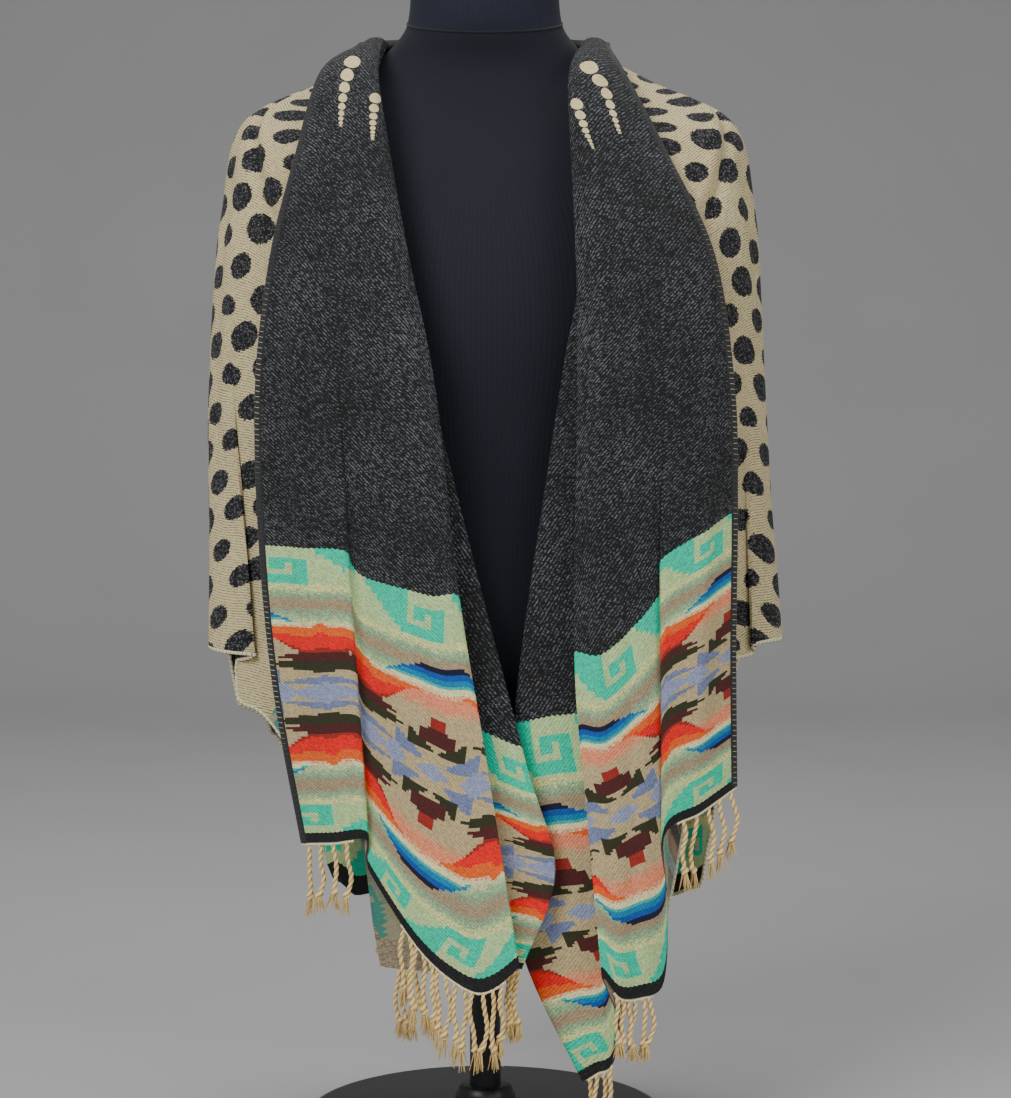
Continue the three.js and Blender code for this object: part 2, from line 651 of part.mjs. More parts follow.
// Fringes: the stretch of hem, in columns of the cloth, its number of cords and their length
const line = (name) => LINES.indexOf(name) * ACROSS_STEPS;
const bodyAt = (side, turn) => {
  const index = turnPlaces(side).findIndex((place) => place >= turn);
  return side < 0 ? index : body.length - 1 - index;
};
const IVORY = 0xd8c8a0;
const fringes = [
  ["right_front_fringe_outer", right, line("edge"), line("crest") - 1, 4, 50],
  ["right_front_fringe_inner", right, line("rise") + 1, line("fold") - 1, 10, 56],
  ["right_strip_fringe", right, line("start"), line("lip") - 1, 3, 50],
  ["left_front_fringe_outer", left, line("edge"), line("crest") - 1, 5, 52],
  ["left_front_fringe_inner", left, line("rise") + 1, line("fold") - 2, 4, 42],
  ["left_strip_fringe", left, line("start"), line("lip") - 1, 3, 50],
];
for (const [name, made, from, to, strands, length] of fringes) {
  const geometry = fringeGeometry(made.front, made.frontNormals, from, to, strands, length);
  add(name, geometry, IVORY, 0.9);
}

const bodyFringes = [
  ["right_under_fringe", bodyAt(-1, 0), bodyAt(-1, 0.03), 3, 48],
  ["back_fringe", bodyAt(-1, 0.88), bodyAt(1, 0.77), 15, 52],
];
for (const [name, from, to, strands, length] of bodyFringes) {
  add(name, fringeGeometry(body, bodyNormals, from, to, strands, length), IVORY, 0.9);
}

export default group;
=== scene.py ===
"""The looks of a long open-front poncho of double-faced blanket cloth on a limbless dress form.

The cloth is worked out from named tables: a body wall round the form, two turned-back fronts and a
neck roll, each a thin shell on a grid of two parameters. Tables are in millimetres, meshes in metres.
Face A is the charcoal face with the bright border; face B is the beige face with black dots.
"""

import logging
import math
from collections.abc import Sequence
from dataclasses import dataclass
from enum import Enum

import bpy
import numpy as np
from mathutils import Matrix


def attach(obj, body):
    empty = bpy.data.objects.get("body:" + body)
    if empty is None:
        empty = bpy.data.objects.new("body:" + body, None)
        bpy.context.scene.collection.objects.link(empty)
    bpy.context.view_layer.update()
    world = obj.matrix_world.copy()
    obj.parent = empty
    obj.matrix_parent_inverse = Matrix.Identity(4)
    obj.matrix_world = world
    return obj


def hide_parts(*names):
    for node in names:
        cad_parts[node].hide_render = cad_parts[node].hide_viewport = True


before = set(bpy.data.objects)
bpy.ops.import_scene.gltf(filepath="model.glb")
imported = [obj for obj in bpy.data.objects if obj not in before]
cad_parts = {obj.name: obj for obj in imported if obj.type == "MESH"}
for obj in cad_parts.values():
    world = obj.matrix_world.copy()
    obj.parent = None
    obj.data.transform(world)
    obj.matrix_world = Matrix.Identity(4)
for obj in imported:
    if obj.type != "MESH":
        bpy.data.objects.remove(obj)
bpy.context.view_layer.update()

log = logging.getLogger("poncho")
Socket = bpy.types.NodeSocket
Material = bpy.types.Material
Piece = bpy.types.Object
Colour = tuple[float, float, float]

MM = 0.001
CLOTH = 2.0  # thickness of the double-faced cloth
CLOTH_LIFT = 0.4  # the whole cloth above its table heights
HALF_BORDER = 140.0  # from the border's edge to its middle
HEM_BAND = 0.115  # the dark band below the border, as a share of half the border
LAST = 7  # the level of the hem
CHEST = 3  # the level below which the cloth hangs straight to its hem
HANG_SHARE = (0.2, 0.48, 0.74, 1.0)  # of the way from chest to hem, at the levels between
SHARP = 50.0  # edges folded more than this many degrees are sharp
ROUNDNESS = 2.3  # of the wall's plan: 2 is an ellipse
PLEAT_REACH = 5.0  # how far the layers of a side pleat stay apart, in its half-widths
CREASE_FADE = 38.0  # the length in which a crease fades beyond its ends
BORDER_DROP = 340.0  # how far the border drops away on the body wall's sides
FRONT_HEM, BACK_HEM = 165, 182  # heights above which the body wall's border doesn't follow its hem
WHOLE = 64.0  # whole steps added so that a fraction is taken of a number above 0
SEAM_HEIGHT, SEAM_RISE = 0.8851, 0.235  # plane of the neckline seam, in metres, and its rise to the back


class Side(Enum):
    """The wearer's two sides, as the sign of X."""

    RIGHT = -1
    LEFT = 1


# Body wall: a value for each level from the neckline to the hem
BODY = {
    "right": (84, 131, 191, 207, 215, 220, 220, 221),
    "left": (84, 133, 196, 213, 218, 222, 226, 231),
    "front": (40, 50, 83, 108, 112, 106, 100, 96),
    "back": (76, 84, 106, 122, 130, 136, 138, 140),
    "fore": (862, 818, 768, 697),
    "side": (863, 838, 806, 738),
    "rear": (874, 858, 816, 740),
    "opens right": (88, 50, 31, 25, 20, 13, 10, 9),
    "opens left": (88, 46, 29, 27, 27, 26, 27, 28),
}

# Hem of the body wall: angle from straight ahead, height
HEMS = {
    Side.RIGHT: (
        (8, 149), (18, 151), (23, 258), (38, 314), (47, 350), (50, 353), (54, 386), (62, 392), (92, 397),
        (103, 392), (109, 384), (114, 334), (130, 308), (139, 270), (146, 180), (153, 165), (180, 166),
    ),
    Side.LEFT: (
        (24, 126), (34, 190), (44, 306), (54, 388), (74, 400), (92, 402), (108, 392), (117, 382),
        (122, 330), (126, 226), (130, 178), (144, 165), (180, 166),
    ),
}  # fmt: skip

# Hanging folds of the body wall: angle, spread, depth at the hem, level at which it starts
FOLDS = {
    Side.RIGHT: (
        (84, 6, -6, 3.4), (104, 6, 5, 3.0), (121, 6, -12, 2.6), (134, 6, 6, 3.0), (148, 6, -10, 3.4),
        (163, 7, 11, 2.8),
    ),
    Side.LEFT: (
        (78, 6, 5, 3.2), (98, 6, -9, 3.2), (113, 5, 9, 3.0), (128, 6, -4, 2.8), (144, 6, 10, 2.6),
        (158, 6, -8, 3.2), (174, 6, 9, 3.0),
    ),
}  # fmt: skip


@dataclass(frozen=True)
class Pleat:
    """A side pleat: its turn round the wall, half-width, doubling back in degrees, layer gap, first level."""

    turn: float
    half: float
    sweep: float
    apart: float
    start: float


PLEATS = {Side.RIGHT: Pleat(0.276, 0.035, 11, 6, 3.7), Side.LEFT: Pleat(0.24, 0.035, 7, 5, 4.4)}

# Fronts: a point for each level from 1 to the hem, outwards from the middle, depth and height
FRONTS = {
    Side.RIGHT: {
        "edge": ((126, -40, 843), (143, -80, 777), (161, -104, 698), (172, -112, 599), (170, -110, 481),
                 (160, -104, 367), (140, -98, 250)),
        "crest": ((110, -55, 845), (114, -95, 778), (116, -123, 698), (112, -136, 600), (106, -138, 479),
                  (98, -132, 370), (90, -124, 257)),
        "rise": ((106, -57, 845), (108, -97, 778), (108, -126, 698), (102, -138, 598), (91, -131, 459),
                 (86, -123, 340), (83, -118, 224)),
        "fold": ((82, -60, 838), (72, -96, 775), (57, -126, 697), (37, -138, 599), (19, -146, 443),
                 (-5, -150, 300), (-26, -152, 164)),
        "lip": ((86, -48, 829), (80, -82, 772), (64, -108, 697), (40, -116, 596), (-26, -130, 330),
                (-51, -134, 235), (-28, -136, 160)),
        "dip": (0, 0, 0, 0, 2, 8, 36),
    },
    Side.LEFT: {
        "edge": ((107, -42, 845), (139, -80, 778), (174, -104, 699), (189, -110, 599), (192, -106, 508),
                 (192, -98, 399), (194, -92, 293)),
        "crest": ((92, -57, 846), (108, -95, 779), (131, -123, 699), (138, -134, 599), (135, -133, 473),
                  (136, -130, 368), (137, -124, 260)),
        "rise": ((88, -59, 846), (102, -97, 779), (123, -126, 698), (131, -136, 598), (134, -127, 448),
                 (136, -122, 298), (137, -118, 146)),
        "fold": ((66, -62, 841), (67, -96, 775), (70, -126, 697), (71, -136, 599), (69, -140, 402),
                 (79, -142, 273), (90, -144, 155)),
        "lip": ((74, -50, 831), (74, -82, 772), (76, -108, 697), (58, -116, 596), (25, -113, 346),
                (26, -113, 190), (76, -115, 68)),
        "dip": (0, 0, 0, 0, 14, 6, 13),
    },
}  # fmt: skip

# Neck roll's section, from its outer edge to the neckline: out from the neck, up from the neckline
NECK_SECTION = {
    "edge": (14, 2), "flap": (13, 5), "crest": (11, 7), "tuck": (8, 9), "rise": (6, 10), "panel": (3, 10.5),
    "belly": (0, 10.5), "fold": (-3, 9.5), "turn": (-5, 8), "start": (-6, 6.5), "web": (-6, 5),
    "lip": (-5, 3.5), "hide": (-3, 1.8), "under": (0, 0),
}  # fmt: skip
LINES = list(NECK_SECTION)

# Dress form: height, half-width, half-depth, shift to the back
FORM_SECTIONS = (
    (296, 140, 88, 4), (304, 147, 93, 4), (360, 150, 96, 4), (430, 138, 92, 3),
    (500, 126, 88, 0), (570, 140, 94, -2), (640, 160, 102, -5), (700, 172, 95, -4),
    (760, 184, 76, 0), (794, 182, 62, 4), (819, 160, 50, 7), (839, 119, 42, 9),
    (856, 88, 42, 9), (874, 68, 48, 8), (893, 60, 53, 8), (938, 58, 54, 8),
)  # fmt: skip


# Turned parts: height and radius
CAP = ((938.3, 50.5), (939.0, 51.6), (944.0, 52.0), (946.6, 49.8), (948.0, 38.0), (948.3, 4.0))
POLE = (
    (14.3, 12.5), (286.5, 12.5), (287.7, 13.4), (288.0, 40.0), (289.0, 42.0), (294.7, 42.0), (295.7, 40.8),
)  # fmt: skip
BASE = ((0.0, 139.0), (0.6, 142.6), (3.0, 144.8), (10.0, 145.0), (12.6, 143.4), (14.0, 139.0))
COLLAR = (
    (14.3, 12.8), (14.4, 25.2), (16.5, 26.0), (30.0, 23.4), (35.0, 21.6), (36.0, 19.8), (36.0, 12.8),
)  # fmt: skip

# Softboxes: place, side in metres, power in watts
SOFTBOXES = {
    "key_softbox": ((-1.5, -2.2, 2.3), 1.6, 80),
    "fill_softbox": ((1.9, -2.0, 1.5), 2.0, 31),
    "top_softbox": ((0.1, 0.7, 2.7), 1.8, 28),
    "low_softbox": ((0.2, -2.5, 0.35), 1.6, 7),
}


# Numbers and grids


def smooth_run(rows: Sequence, at: np.ndarray) -> np.ndarray:
    """A smooth cubic run through rows: between two rows, the curve that meets both, sloping at each by
    half the difference of its neighbours.

    Args:
        rows: The values, along the first axis.
        at: Places between 0 and the last row.

    Returns:
        The values there, with the shape of at followed by that of one row.
    """
    values = np.asarray(rows, float)
    last = len(values) - 1
    low = np.clip(np.floor(at).astype(int), 0, last - 1)
    t = (at - low).reshape(low.shape + (1,) * (values.ndim - 1))
    a, b = values[low], values[low + 1]
    slope_a = (b - values[np.maximum(low - 1, 0)]) / 2
    slope_b = (values[np.minimum(low + 2, last)] - a) / 2
    square, cube = t**2, t**3
    runs = (2 * cube - 3 * square + 1) * a + (cube - 2 * square + t) * slope_a
    return runs + (3 * square - 2 * cube) * b + (cube - square) * slope_b


def eased(table: Sequence, at: np.ndarray) -> np.ndarray:
    """Values of a two-column table, eased from row to row by the smoothstep of the share between them."""
    keys, values = np.array(table, float).T
    low = np.clip(np.searchsorted(keys, at) - 1, 0, len(keys) - 2)
    share = np.clip((at - keys[low]) / (keys[low + 1] - keys[low]), 0, 1)
    return values[low] + (values[low + 1] - values[low]) * share**2 * (3 - 2 * share)


def unit(vectors: np.ndarray) -> np.ndarray:
    """Vectors of length 1 in the same directions."""
    return vectors / np.maximum(np.linalg.norm(vectors, axis=-1, keepdims=True), 1e-9)


def run_lengths(grid: np.ndarray, axis: int) -> np.ndarray:
    """The distance walked along one axis of a grid of points, from its first row to each."""
    steps = np.linalg.norm(np.diff(grid, axis=axis), axis=-1)
    start = np.zeros_like(np.take(steps, [0], axis=axis))
    return np.concatenate([start, np.cumsum(steps, axis=axis)], axis=axis)


def along_run(points: np.ndarray, walked: np.ndarray, at: np.ndarray) -> np.ndarray:
    """Points at the distances at, on the straight lines between points that lie at the distances walked."""
    return np.stack([np.interp(at, walked, points[:, k]) for k in range(3)], axis=-1)


def steady(x: float, y: float, z: float, shape: tuple[int, ...]) -> np.ndarray:
    """One direction for every point of an array of the given shape."""
    return np.broadcast_to(np.array([x, y, z], float), shape)


def at_column(values: np.ndarray, places: np.ndarray, chosen: np.ndarray) -> np.ndarray:
    """The value of each row of a grid at that row's chosen column parameter."""
    return np.array([np.interp(place, places, values[:, k]) for k, place in enumerate(chosen)])


def surface_normal(grid: np.ndarray, facing: int) -> np.ndarray:
    """Across times down, 1 long, turned by the sign facing."""
    return unit(np.cross(np.gradient(grid, axis=0), np.gradient(grid, axis=1))) * facing


def whole(halves: dict[Side, np.ndarray], axis: int = 0) -> np.ndarray:
    """Both halves in one run from the wearer's right to the left, the middle that they share taken once."""
    left = np.delete(np.flip(halves[Side.LEFT], axis), 0, axis)
    return np.concatenate([halves[Side.RIGHT], left], axis=axis)


def cloth_maps(
    across: np.ndarray,
    down: np.ndarray,
    along: np.ndarray,
    place: np.ndarray | float,
    reach: np.ndarray | float = -1.0,
    aside: np.ndarray | float = -1.0,
) -> dict[str, np.ndarray]:
    """The maps of a cloth, a pair of values for each point.

    Args:
        across: Metres across the cloth.
        down: Metres down it.
        along: Metres along its border.
        place: The place in the border, as Border.paint takes it.
        reach: Metres along the chain of cream dots, which starts at 0.
        aside: Metres beside that chain.

    Returns:
        The maps "thread", "border" and "chain".
    """
    pairs = {"thread": (across, down), "border": (along, place), "chain": (reach, aside)}
    return {key: np.stack(np.broadcast_arrays(*pair, down)[:2], -1) for key, pair in pairs.items()}


def hem_angles(side: Side, turns: np.ndarray) -> np.ndarray:
    """Degrees from straight ahead at which the body wall's turns meet its hem."""
    opens = BODY["opens " + side.name.lower()][LAST]
    return opens + (180 - opens) * turns


def body_grid(side: Side, turns: np.ndarray, levels: np.ndarray) -> np.ndarray:
    """Points of the body wall: half an oval whose half-widths, depths and heights are runs through the
    level table, with a power of sine and cosine for its roundness, swollen by folds that grow to the hem.

    Args:
        side: The wearer's side.
        turns: From 0 at the front opening to 1 at the middle of the back.
        levels: From 0 at the neckline to 7 at the hem.

    Returns:
        An array of turns by levels by 3, in millimetres.
    """
    name = side.name.lower()
    opens = smooth_run(BODY["opens " + name], levels)
    pleat = PLEATS[side]
    laid = opens + (180 - opens) * turns[:, None]
    pleated = np.maximum(0, (levels - pleat.start) / (LAST - pleat.start))
    within = (turns[:, None] - pleat.turn) / pleat.half
    angle = np.radians(laid - pleated * pleat.sweep * within * np.exp((1 - within**2) / 2))
    sine, cosine = np.sin(angle), np.cos(angle)
    power = 2 / ROUNDNESS
    depth = np.where(cosine > 0, smooth_run(BODY["front"], levels), smooth_run(BODY["back"], levels))
    out = smooth_run(BODY[name], levels) * np.abs(sine) ** power
    back = -depth * np.sign(cosine) * np.abs(cosine) ** power
    swell = pleated * pleat.apart * np.tanh(within) * np.exp(-((within / PLEAT_REACH) ** 2))
    for at, spread, deep, start in FOLDS[side]:
        grown = np.maximum(0, (levels - start) / (LAST - start))
        swell = swell + deep * np.exp(-(((laid - at) / spread) ** 2)) * grown
    z = body_heights(side, laid, cosine, levels)
    return np.stack([side.value * (out + swell * sine), back - swell * cosine, z + CLOTH_LIFT], axis=-1)


def body_heights(side: Side, laid: np.ndarray, cosine: np.ndarray, levels: np.ndarray) -> np.ndarray:
    """Heights of body points: between side height and fore or rear height by the cosine's square down to
    the chest, then shares of the way to the hem."""
    across = cosine**2
    ends = [np.where(cosine > 0, BODY["fore"][k], BODY["rear"][k]) for k in range(CHEST + 1)]
    heights = [BODY["side"][k] + (ends[k] - BODY["side"][k]) * across for k in range(CHEST + 1)]
    low = eased(HEMS[side], laid)
    heights += [heights[CHEST] + (low - heights[CHEST]) * share for share in HANG_SHARE]
    stack = np.moveaxis(np.array(heights), -1, 0)
    runs = np.stack([smooth_run(stack[k], np.array(level)) for k, level in enumerate(levels)])
    return runs.T


def neck_points(side: Side, turns: np.ndarray) -> np.ndarray:
    """Points of the neck roll: its section set square to the neckline, as an array of lines by turns by 3."""
    at = body_grid(side, turns, np.array([0.0]))[:, 0]
    away = unit(at * (1, 1.2, 0))
    section = np.array([NECK_SECTION[line] for line in LINES], float)
    return at + away * section[:, None, :1] + np.array([0, 0, 1.0]) * section[:, None, 1:]


def front_controls(side: Side) -> np.ndarray:
    """The lines across a front at each level: an array of lines by levels by 3, in millimetres."""
    *lines, dip = (np.array(rows, float) for rows in FRONTS[side].values())
    edge, crest, rise, fold, lip = (line + (0, 0, CLOTH_LIFT) for line in lines)
    levels = np.arange(1.0, LAST + 1)
    grown = np.clip((levels - 3) / 3, 0, 1)[:, None]
    sink = dip[:, None] * np.array([0, 0, -1.0])
    turn, start, hide = fold + (12, 6, 0), fold + (8, 14, 0), lip + (10, 5, 0)
    turn[:, 2] = fold[:, 2] + (lip - fold)[:, 2] * 0.4
    start[:, 2] = fold[:, 2] + (lip - fold)[:, 2] * 0.8
    under = body_grid(side, np.array([0.0]), levels)[0] * (side.value, 1, 1)
    hide[:, 2] = lip[:, 2] + (under - lip)[:, 2] * 0.1
    rows = {
        "edge": edge,
        "flap": (edge + crest) / 2 + (0, -4, 0),
        "crest": crest,
        "tuck": (crest + rise) / 2 + grown * (3, 4, 0),
        "rise": rise,
        "panel": rise + (fold - rise) * 0.35 + (0, -5, 0) + sink * 0.9,
        "belly": rise + (fold - rise) * 0.72 + (0, -5, 0) + sink,
        "fold": fold,
        "turn": turn,
        "start": start,
        "web": (start + lip) / 2,
        "lip": lip,
        "hide": hide,
        "under": under,
    }
    below = np.array([rows[line] for line in LINES]) * (side.value, 1, 1)
    return np.concatenate([neck_points(side, np.array([0.0])), below], axis=1)


def front_grid(side: Side, places: np.ndarray, levels: np.ndarray) -> np.ndarray:
    """Points of one front: smooth runs down its lines, then across them at the given line places."""
    down = smooth_run(front_controls(side).transpose(1, 0, 2), levels)
    down[:, -1] = body_grid(side, np.array([0.0]), levels)[0]
    return smooth_run(down.transpose(1, 0, 2), places)


# Meshes


@dataclass
class Build:
    """Vertices in millimetres, faces as rows of corner numbers, a material number for each face row, and
    maps of two values for each vertex."""

    points: np.ndarray
    faces: list[np.ndarray]
    finish: list[np.ndarray]
    maps: dict[str, np.ndarray]

    def object(self, name: str, materials: Sequence[Material]) -> Piece:
        """The mesh object of this build, linked to the scene at the origin.

        Args:
            name: The piece's name.
            materials: One for each material number.

        Returns:
            The object.
        """
        mesh = bpy.data.meshes.new(name)
        corners = np.concatenate([rows.ravel() for rows in self.faces]).astype(np.int32)
        sizes = np.concatenate([np.full(len(rows), rows.shape[1]) for rows in self.faces]).astype(np.int32)
        mesh.vertices.add(len(self.points))
        mesh.vertices.foreach_set("co", (self.points * MM).astype(np.float32).ravel())
        mesh.loops.add(len(corners))
        mesh.loops.foreach_set("vertex_index", corners)
        mesh.polygons.add(len(sizes))
        mesh.polygons.foreach_set("loop_start", np.concatenate([[0], np.cumsum(sizes)[:-1]]).astype(np.int32))
        mesh.polygons.foreach_set("material_index", np.concatenate(self.finish).astype(np.int32))
        mesh.polygons.foreach_set("use_smooth", np.ones(len(sizes), bool))
        for key, values in self.maps.items():
            layer = mesh.uv_layers.new(name=key)
            layer.data.foreach_set("uv", values.reshape(-1, 2)[corners].astype(np.float32).ravel())
        mesh.update(calc_edges=True)
        mesh.validate()
        mesh.set_sharp_from_angle(angle=math.radians(SHARP))
        for material in materials:
            mesh.materials.append(material)
        thing = bpy.data.objects.new(name, mesh)
        bpy.context.scene.collection.objects.link(thing)
        return thing


def grid_faces(columns: int, rows: int) -> np.ndarray:
    """Four-cornered faces of a grid whose points are numbered column by column."""
    i, j = np.meshgrid(np.arange(columns - 1), np.arange(rows - 1), indexing="ij")
    a = (i * rows + j).ravel()
    return np.stack([a, a + rows, a + rows + 1, a + 1], axis=1)


def shell(grid: np.ndarray, facing: int, maps: dict[str, np.ndarray]) -> Build:
    """A closed wall as thick as the cloth: each grid point moved half the thickness along the grid's normal
    to either side, with strips round the border. Finish 0 is face A, 1 is face B and 2 the cut edge.

    Args:
        grid: Columns by rows by 3, in millimetres.
        facing: 1 where across times down points out of face A, or -1.
        maps: Columns by rows by 2 for each map.

    Returns:
        The build.
    """
    normal = surface_normal(grid, facing)
    columns, rows = grid.shape[:2]
    half = normal * CLOTH / 2
    points = np.concatenate([(grid + half).reshape(-1, 3), (grid - half).reshape(-1, 3)])
    face_a = grid_faces(columns, rows)
    back = columns * rows
    number = np.arange(back).reshape(columns, rows)
    rim = np.concatenate([number[:, 0][::-1], number[0, 1:], number[1:, -1], number[-1, :-1][::-1]])
    strip = np.stack([rim[:-1], rim[1:], rim[1:] + back, rim[:-1] + back], axis=1)
    faces = [face_a, face_a[:, ::-1] + back, strip]
    if facing < 0:
        faces = [part[:, ::-1] for part in faces]
    finish = [np.full(len(part), k) for k, part in enumerate(faces)]
    both = {key: np.concatenate([values.reshape(-1, 2)] * 2) for key, values in maps.items()}
    return Build(points, faces, finish, both)


def tubes(centres: np.ndarray, first: np.ndarray, second: np.ndarray, radii: np.ndarray) -> Build:
    """Closed tubes: round each centre, a ring of points at the radius for each angle, on two directions.

    Args:
        centres: Tubes by rings by 3, in millimetres.
        first: The direction of angle 0 at each ring.
        second: The direction of a quarter turn, so that first, second and the path are right-handed.
        radii: Tubes by rings by sides.

    Returns:
        The build, whose map "around" holds the share of the turn and the share of the length.
    """
    count, rings, sides = radii.shape
    angle = np.arange(sides) * 2 * np.pi / sides
    spokes = first[..., None, :] * np.cos(angle)[:, None] + second[..., None, :] * np.sin(angle)[:, None]
    points = centres[..., None, :] + spokes * radii[..., None]
    ring, side = np.meshgrid(np.arange(rings - 1), np.arange(sides), indexing="ij")
    a = (ring * sides + side).ravel()
    b = (ring * sides + (side + 1) % sides).ravel()
    quads = np.stack([a, b, b + sides, a + sides], axis=1)
    k = np.arange(sides)
    low = np.stack([np.full(sides, rings * sides), (k + 1) % sides, k], axis=1)
    top = (rings - 1) * sides
    high = np.stack([np.full(sides, rings * sides + 1), top + k, top + (k + 1) % sides], axis=1)
    poles = np.stack([points[:, 0].mean(axis=1), points[:, -1].mean(axis=1)], axis=1)
    size = rings * sides + 2
    shift = (np.arange(count) * size)[:, None, None]
    length, turn = np.meshgrid(np.linspace(0, 1, rings), np.abs(k / sides - 0.5) * 2, indexing="ij")
    around = np.stack([turn, length], axis=-1)
    ends = np.array([[0.5, 0.0], [0.5, 1.0]])
    one = np.concatenate([around.reshape(-1, 2), ends])
    faces = [(quads + shift).reshape(-1, 4), (np.concatenate([low, high]) + shift).reshape(-1, 3)]
    return Build(
        np.concatenate([points.reshape(count, -1, 3), poles], axis=1).reshape(-1, 3),
        faces,
        [np.zeros(len(rows), int) for rows in faces],
        {"around": np.tile(one, (count, 1))},
    )


def joined(builds: Sequence[Build]) -> Build:
    """Several builds with the same maps as one, their materials numbered in order."""
    shift = 0
    faces, finish = [], []
    for number, build in enumerate(builds):
        faces += [rows + shift for rows in build.faces]
        finish += [np.full(len(rows), number) for rows in build.faces]
        shift += len(build.points)
    maps = {key: np.concatenate([b.maps[key].reshape(-1, 2) for b in builds]) for key in builds[0].maps}
    return Build(np.concatenate([b.points for b in builds]), faces, finish, maps)


# Shader maths


class Value:
    """A number in a material's node tree. Python's operators on it add Math nodes."""

    def __init__(self, shade: "Shade", socket: Socket) -> None:
        """Wraps a socket of the tree of shade."""
        self.shade = shade
        self.socket = socket

    def __add__(self, other: "Value | float") -> "Value":
        """self + other."""
        return self.shade.math("ADD", self, other)

    def __sub__(self, other: "Value | float") -> "Value":
        """self - other."""
        return self.shade.math("SUBTRACT", self, other)

    def __rsub__(self, other: float) -> "Value":
        """other - self."""
        return self.shade.math("SUBTRACT", other, self)

    def __mul__(self, other: "Value | float") -> "Value":
        """self * other."""
        return self.shade.math("MULTIPLY", self, other)

    def __truediv__(self, other: "Value | float") -> "Value":
        """self / other."""
        return self.shade.math("DIVIDE", self, other)

    def __gt__(self, other: "Value | float") -> "Value":
        """1 where self is above other, else 0."""
        return self.shade.math("GREATER_THAN", self, other)

    def __lt__(self, other: "Value | float") -> "Value":
        """1 where self is below other, else 0."""
        return self.shade.math("LESS_THAN", self, other)

    __radd__ = __add__
    __rmul__ = __mul__

    def __abs__(self) -> "Value":
        """The size of self."""
        return self.shade.math("ABSOLUTE", self)

    def floor(self) -> "Value":
        """The whole number below."""
        return self.shade.math("FLOOR", self)

    def fraction(self) -> "Value":
        """What is left above the whole number."""
        return self.shade.math("FRACT", self)

    def wave(self) -> "Value":
        """The sine of self, where 1 is a whole turn."""
        return self.shade.math("SINE", self * math.tau)

    def least(self, other: "Value | float") -> "Value":
        """The lower of the two."""
        return self.shade.math("MINIMUM", self, other)

    def most(self, other: "Value | float") -> "Value":
        """The higher of the two."""
        return self.shade.math("MAXIMUM", self, other)

    def between(self, low: "Value | float", high: "Value | float") -> "Value":
        """1 where self lies between low and high, else 0."""
        return (self > low) * (self < high)

    def step(self, low: float, high: float) -> "Value":
        """Eased from 0 at low to 1 at high."""
        sockets = {0: self, 1: low, 2: high, 3: 0.0, 4: 1.0}
        made = self.shade.node("ShaderNodeMapRange", {"interpolation_type": "SMOOTHSTEP"}, sockets)
        return Value(self.shade, made.outputs[0])


def ink(code: str) -> Colour:
    """A linear colour from six hexadecimal digits of a screen colour."""
    screen = [int(code[k : k + 2], 16) / 255 for k in (0, 2, 4)]
    return tuple(c / 12.92 if c <= 0.04045 else ((c + 0.055) / 1.055) ** 2.4 for c in screen)


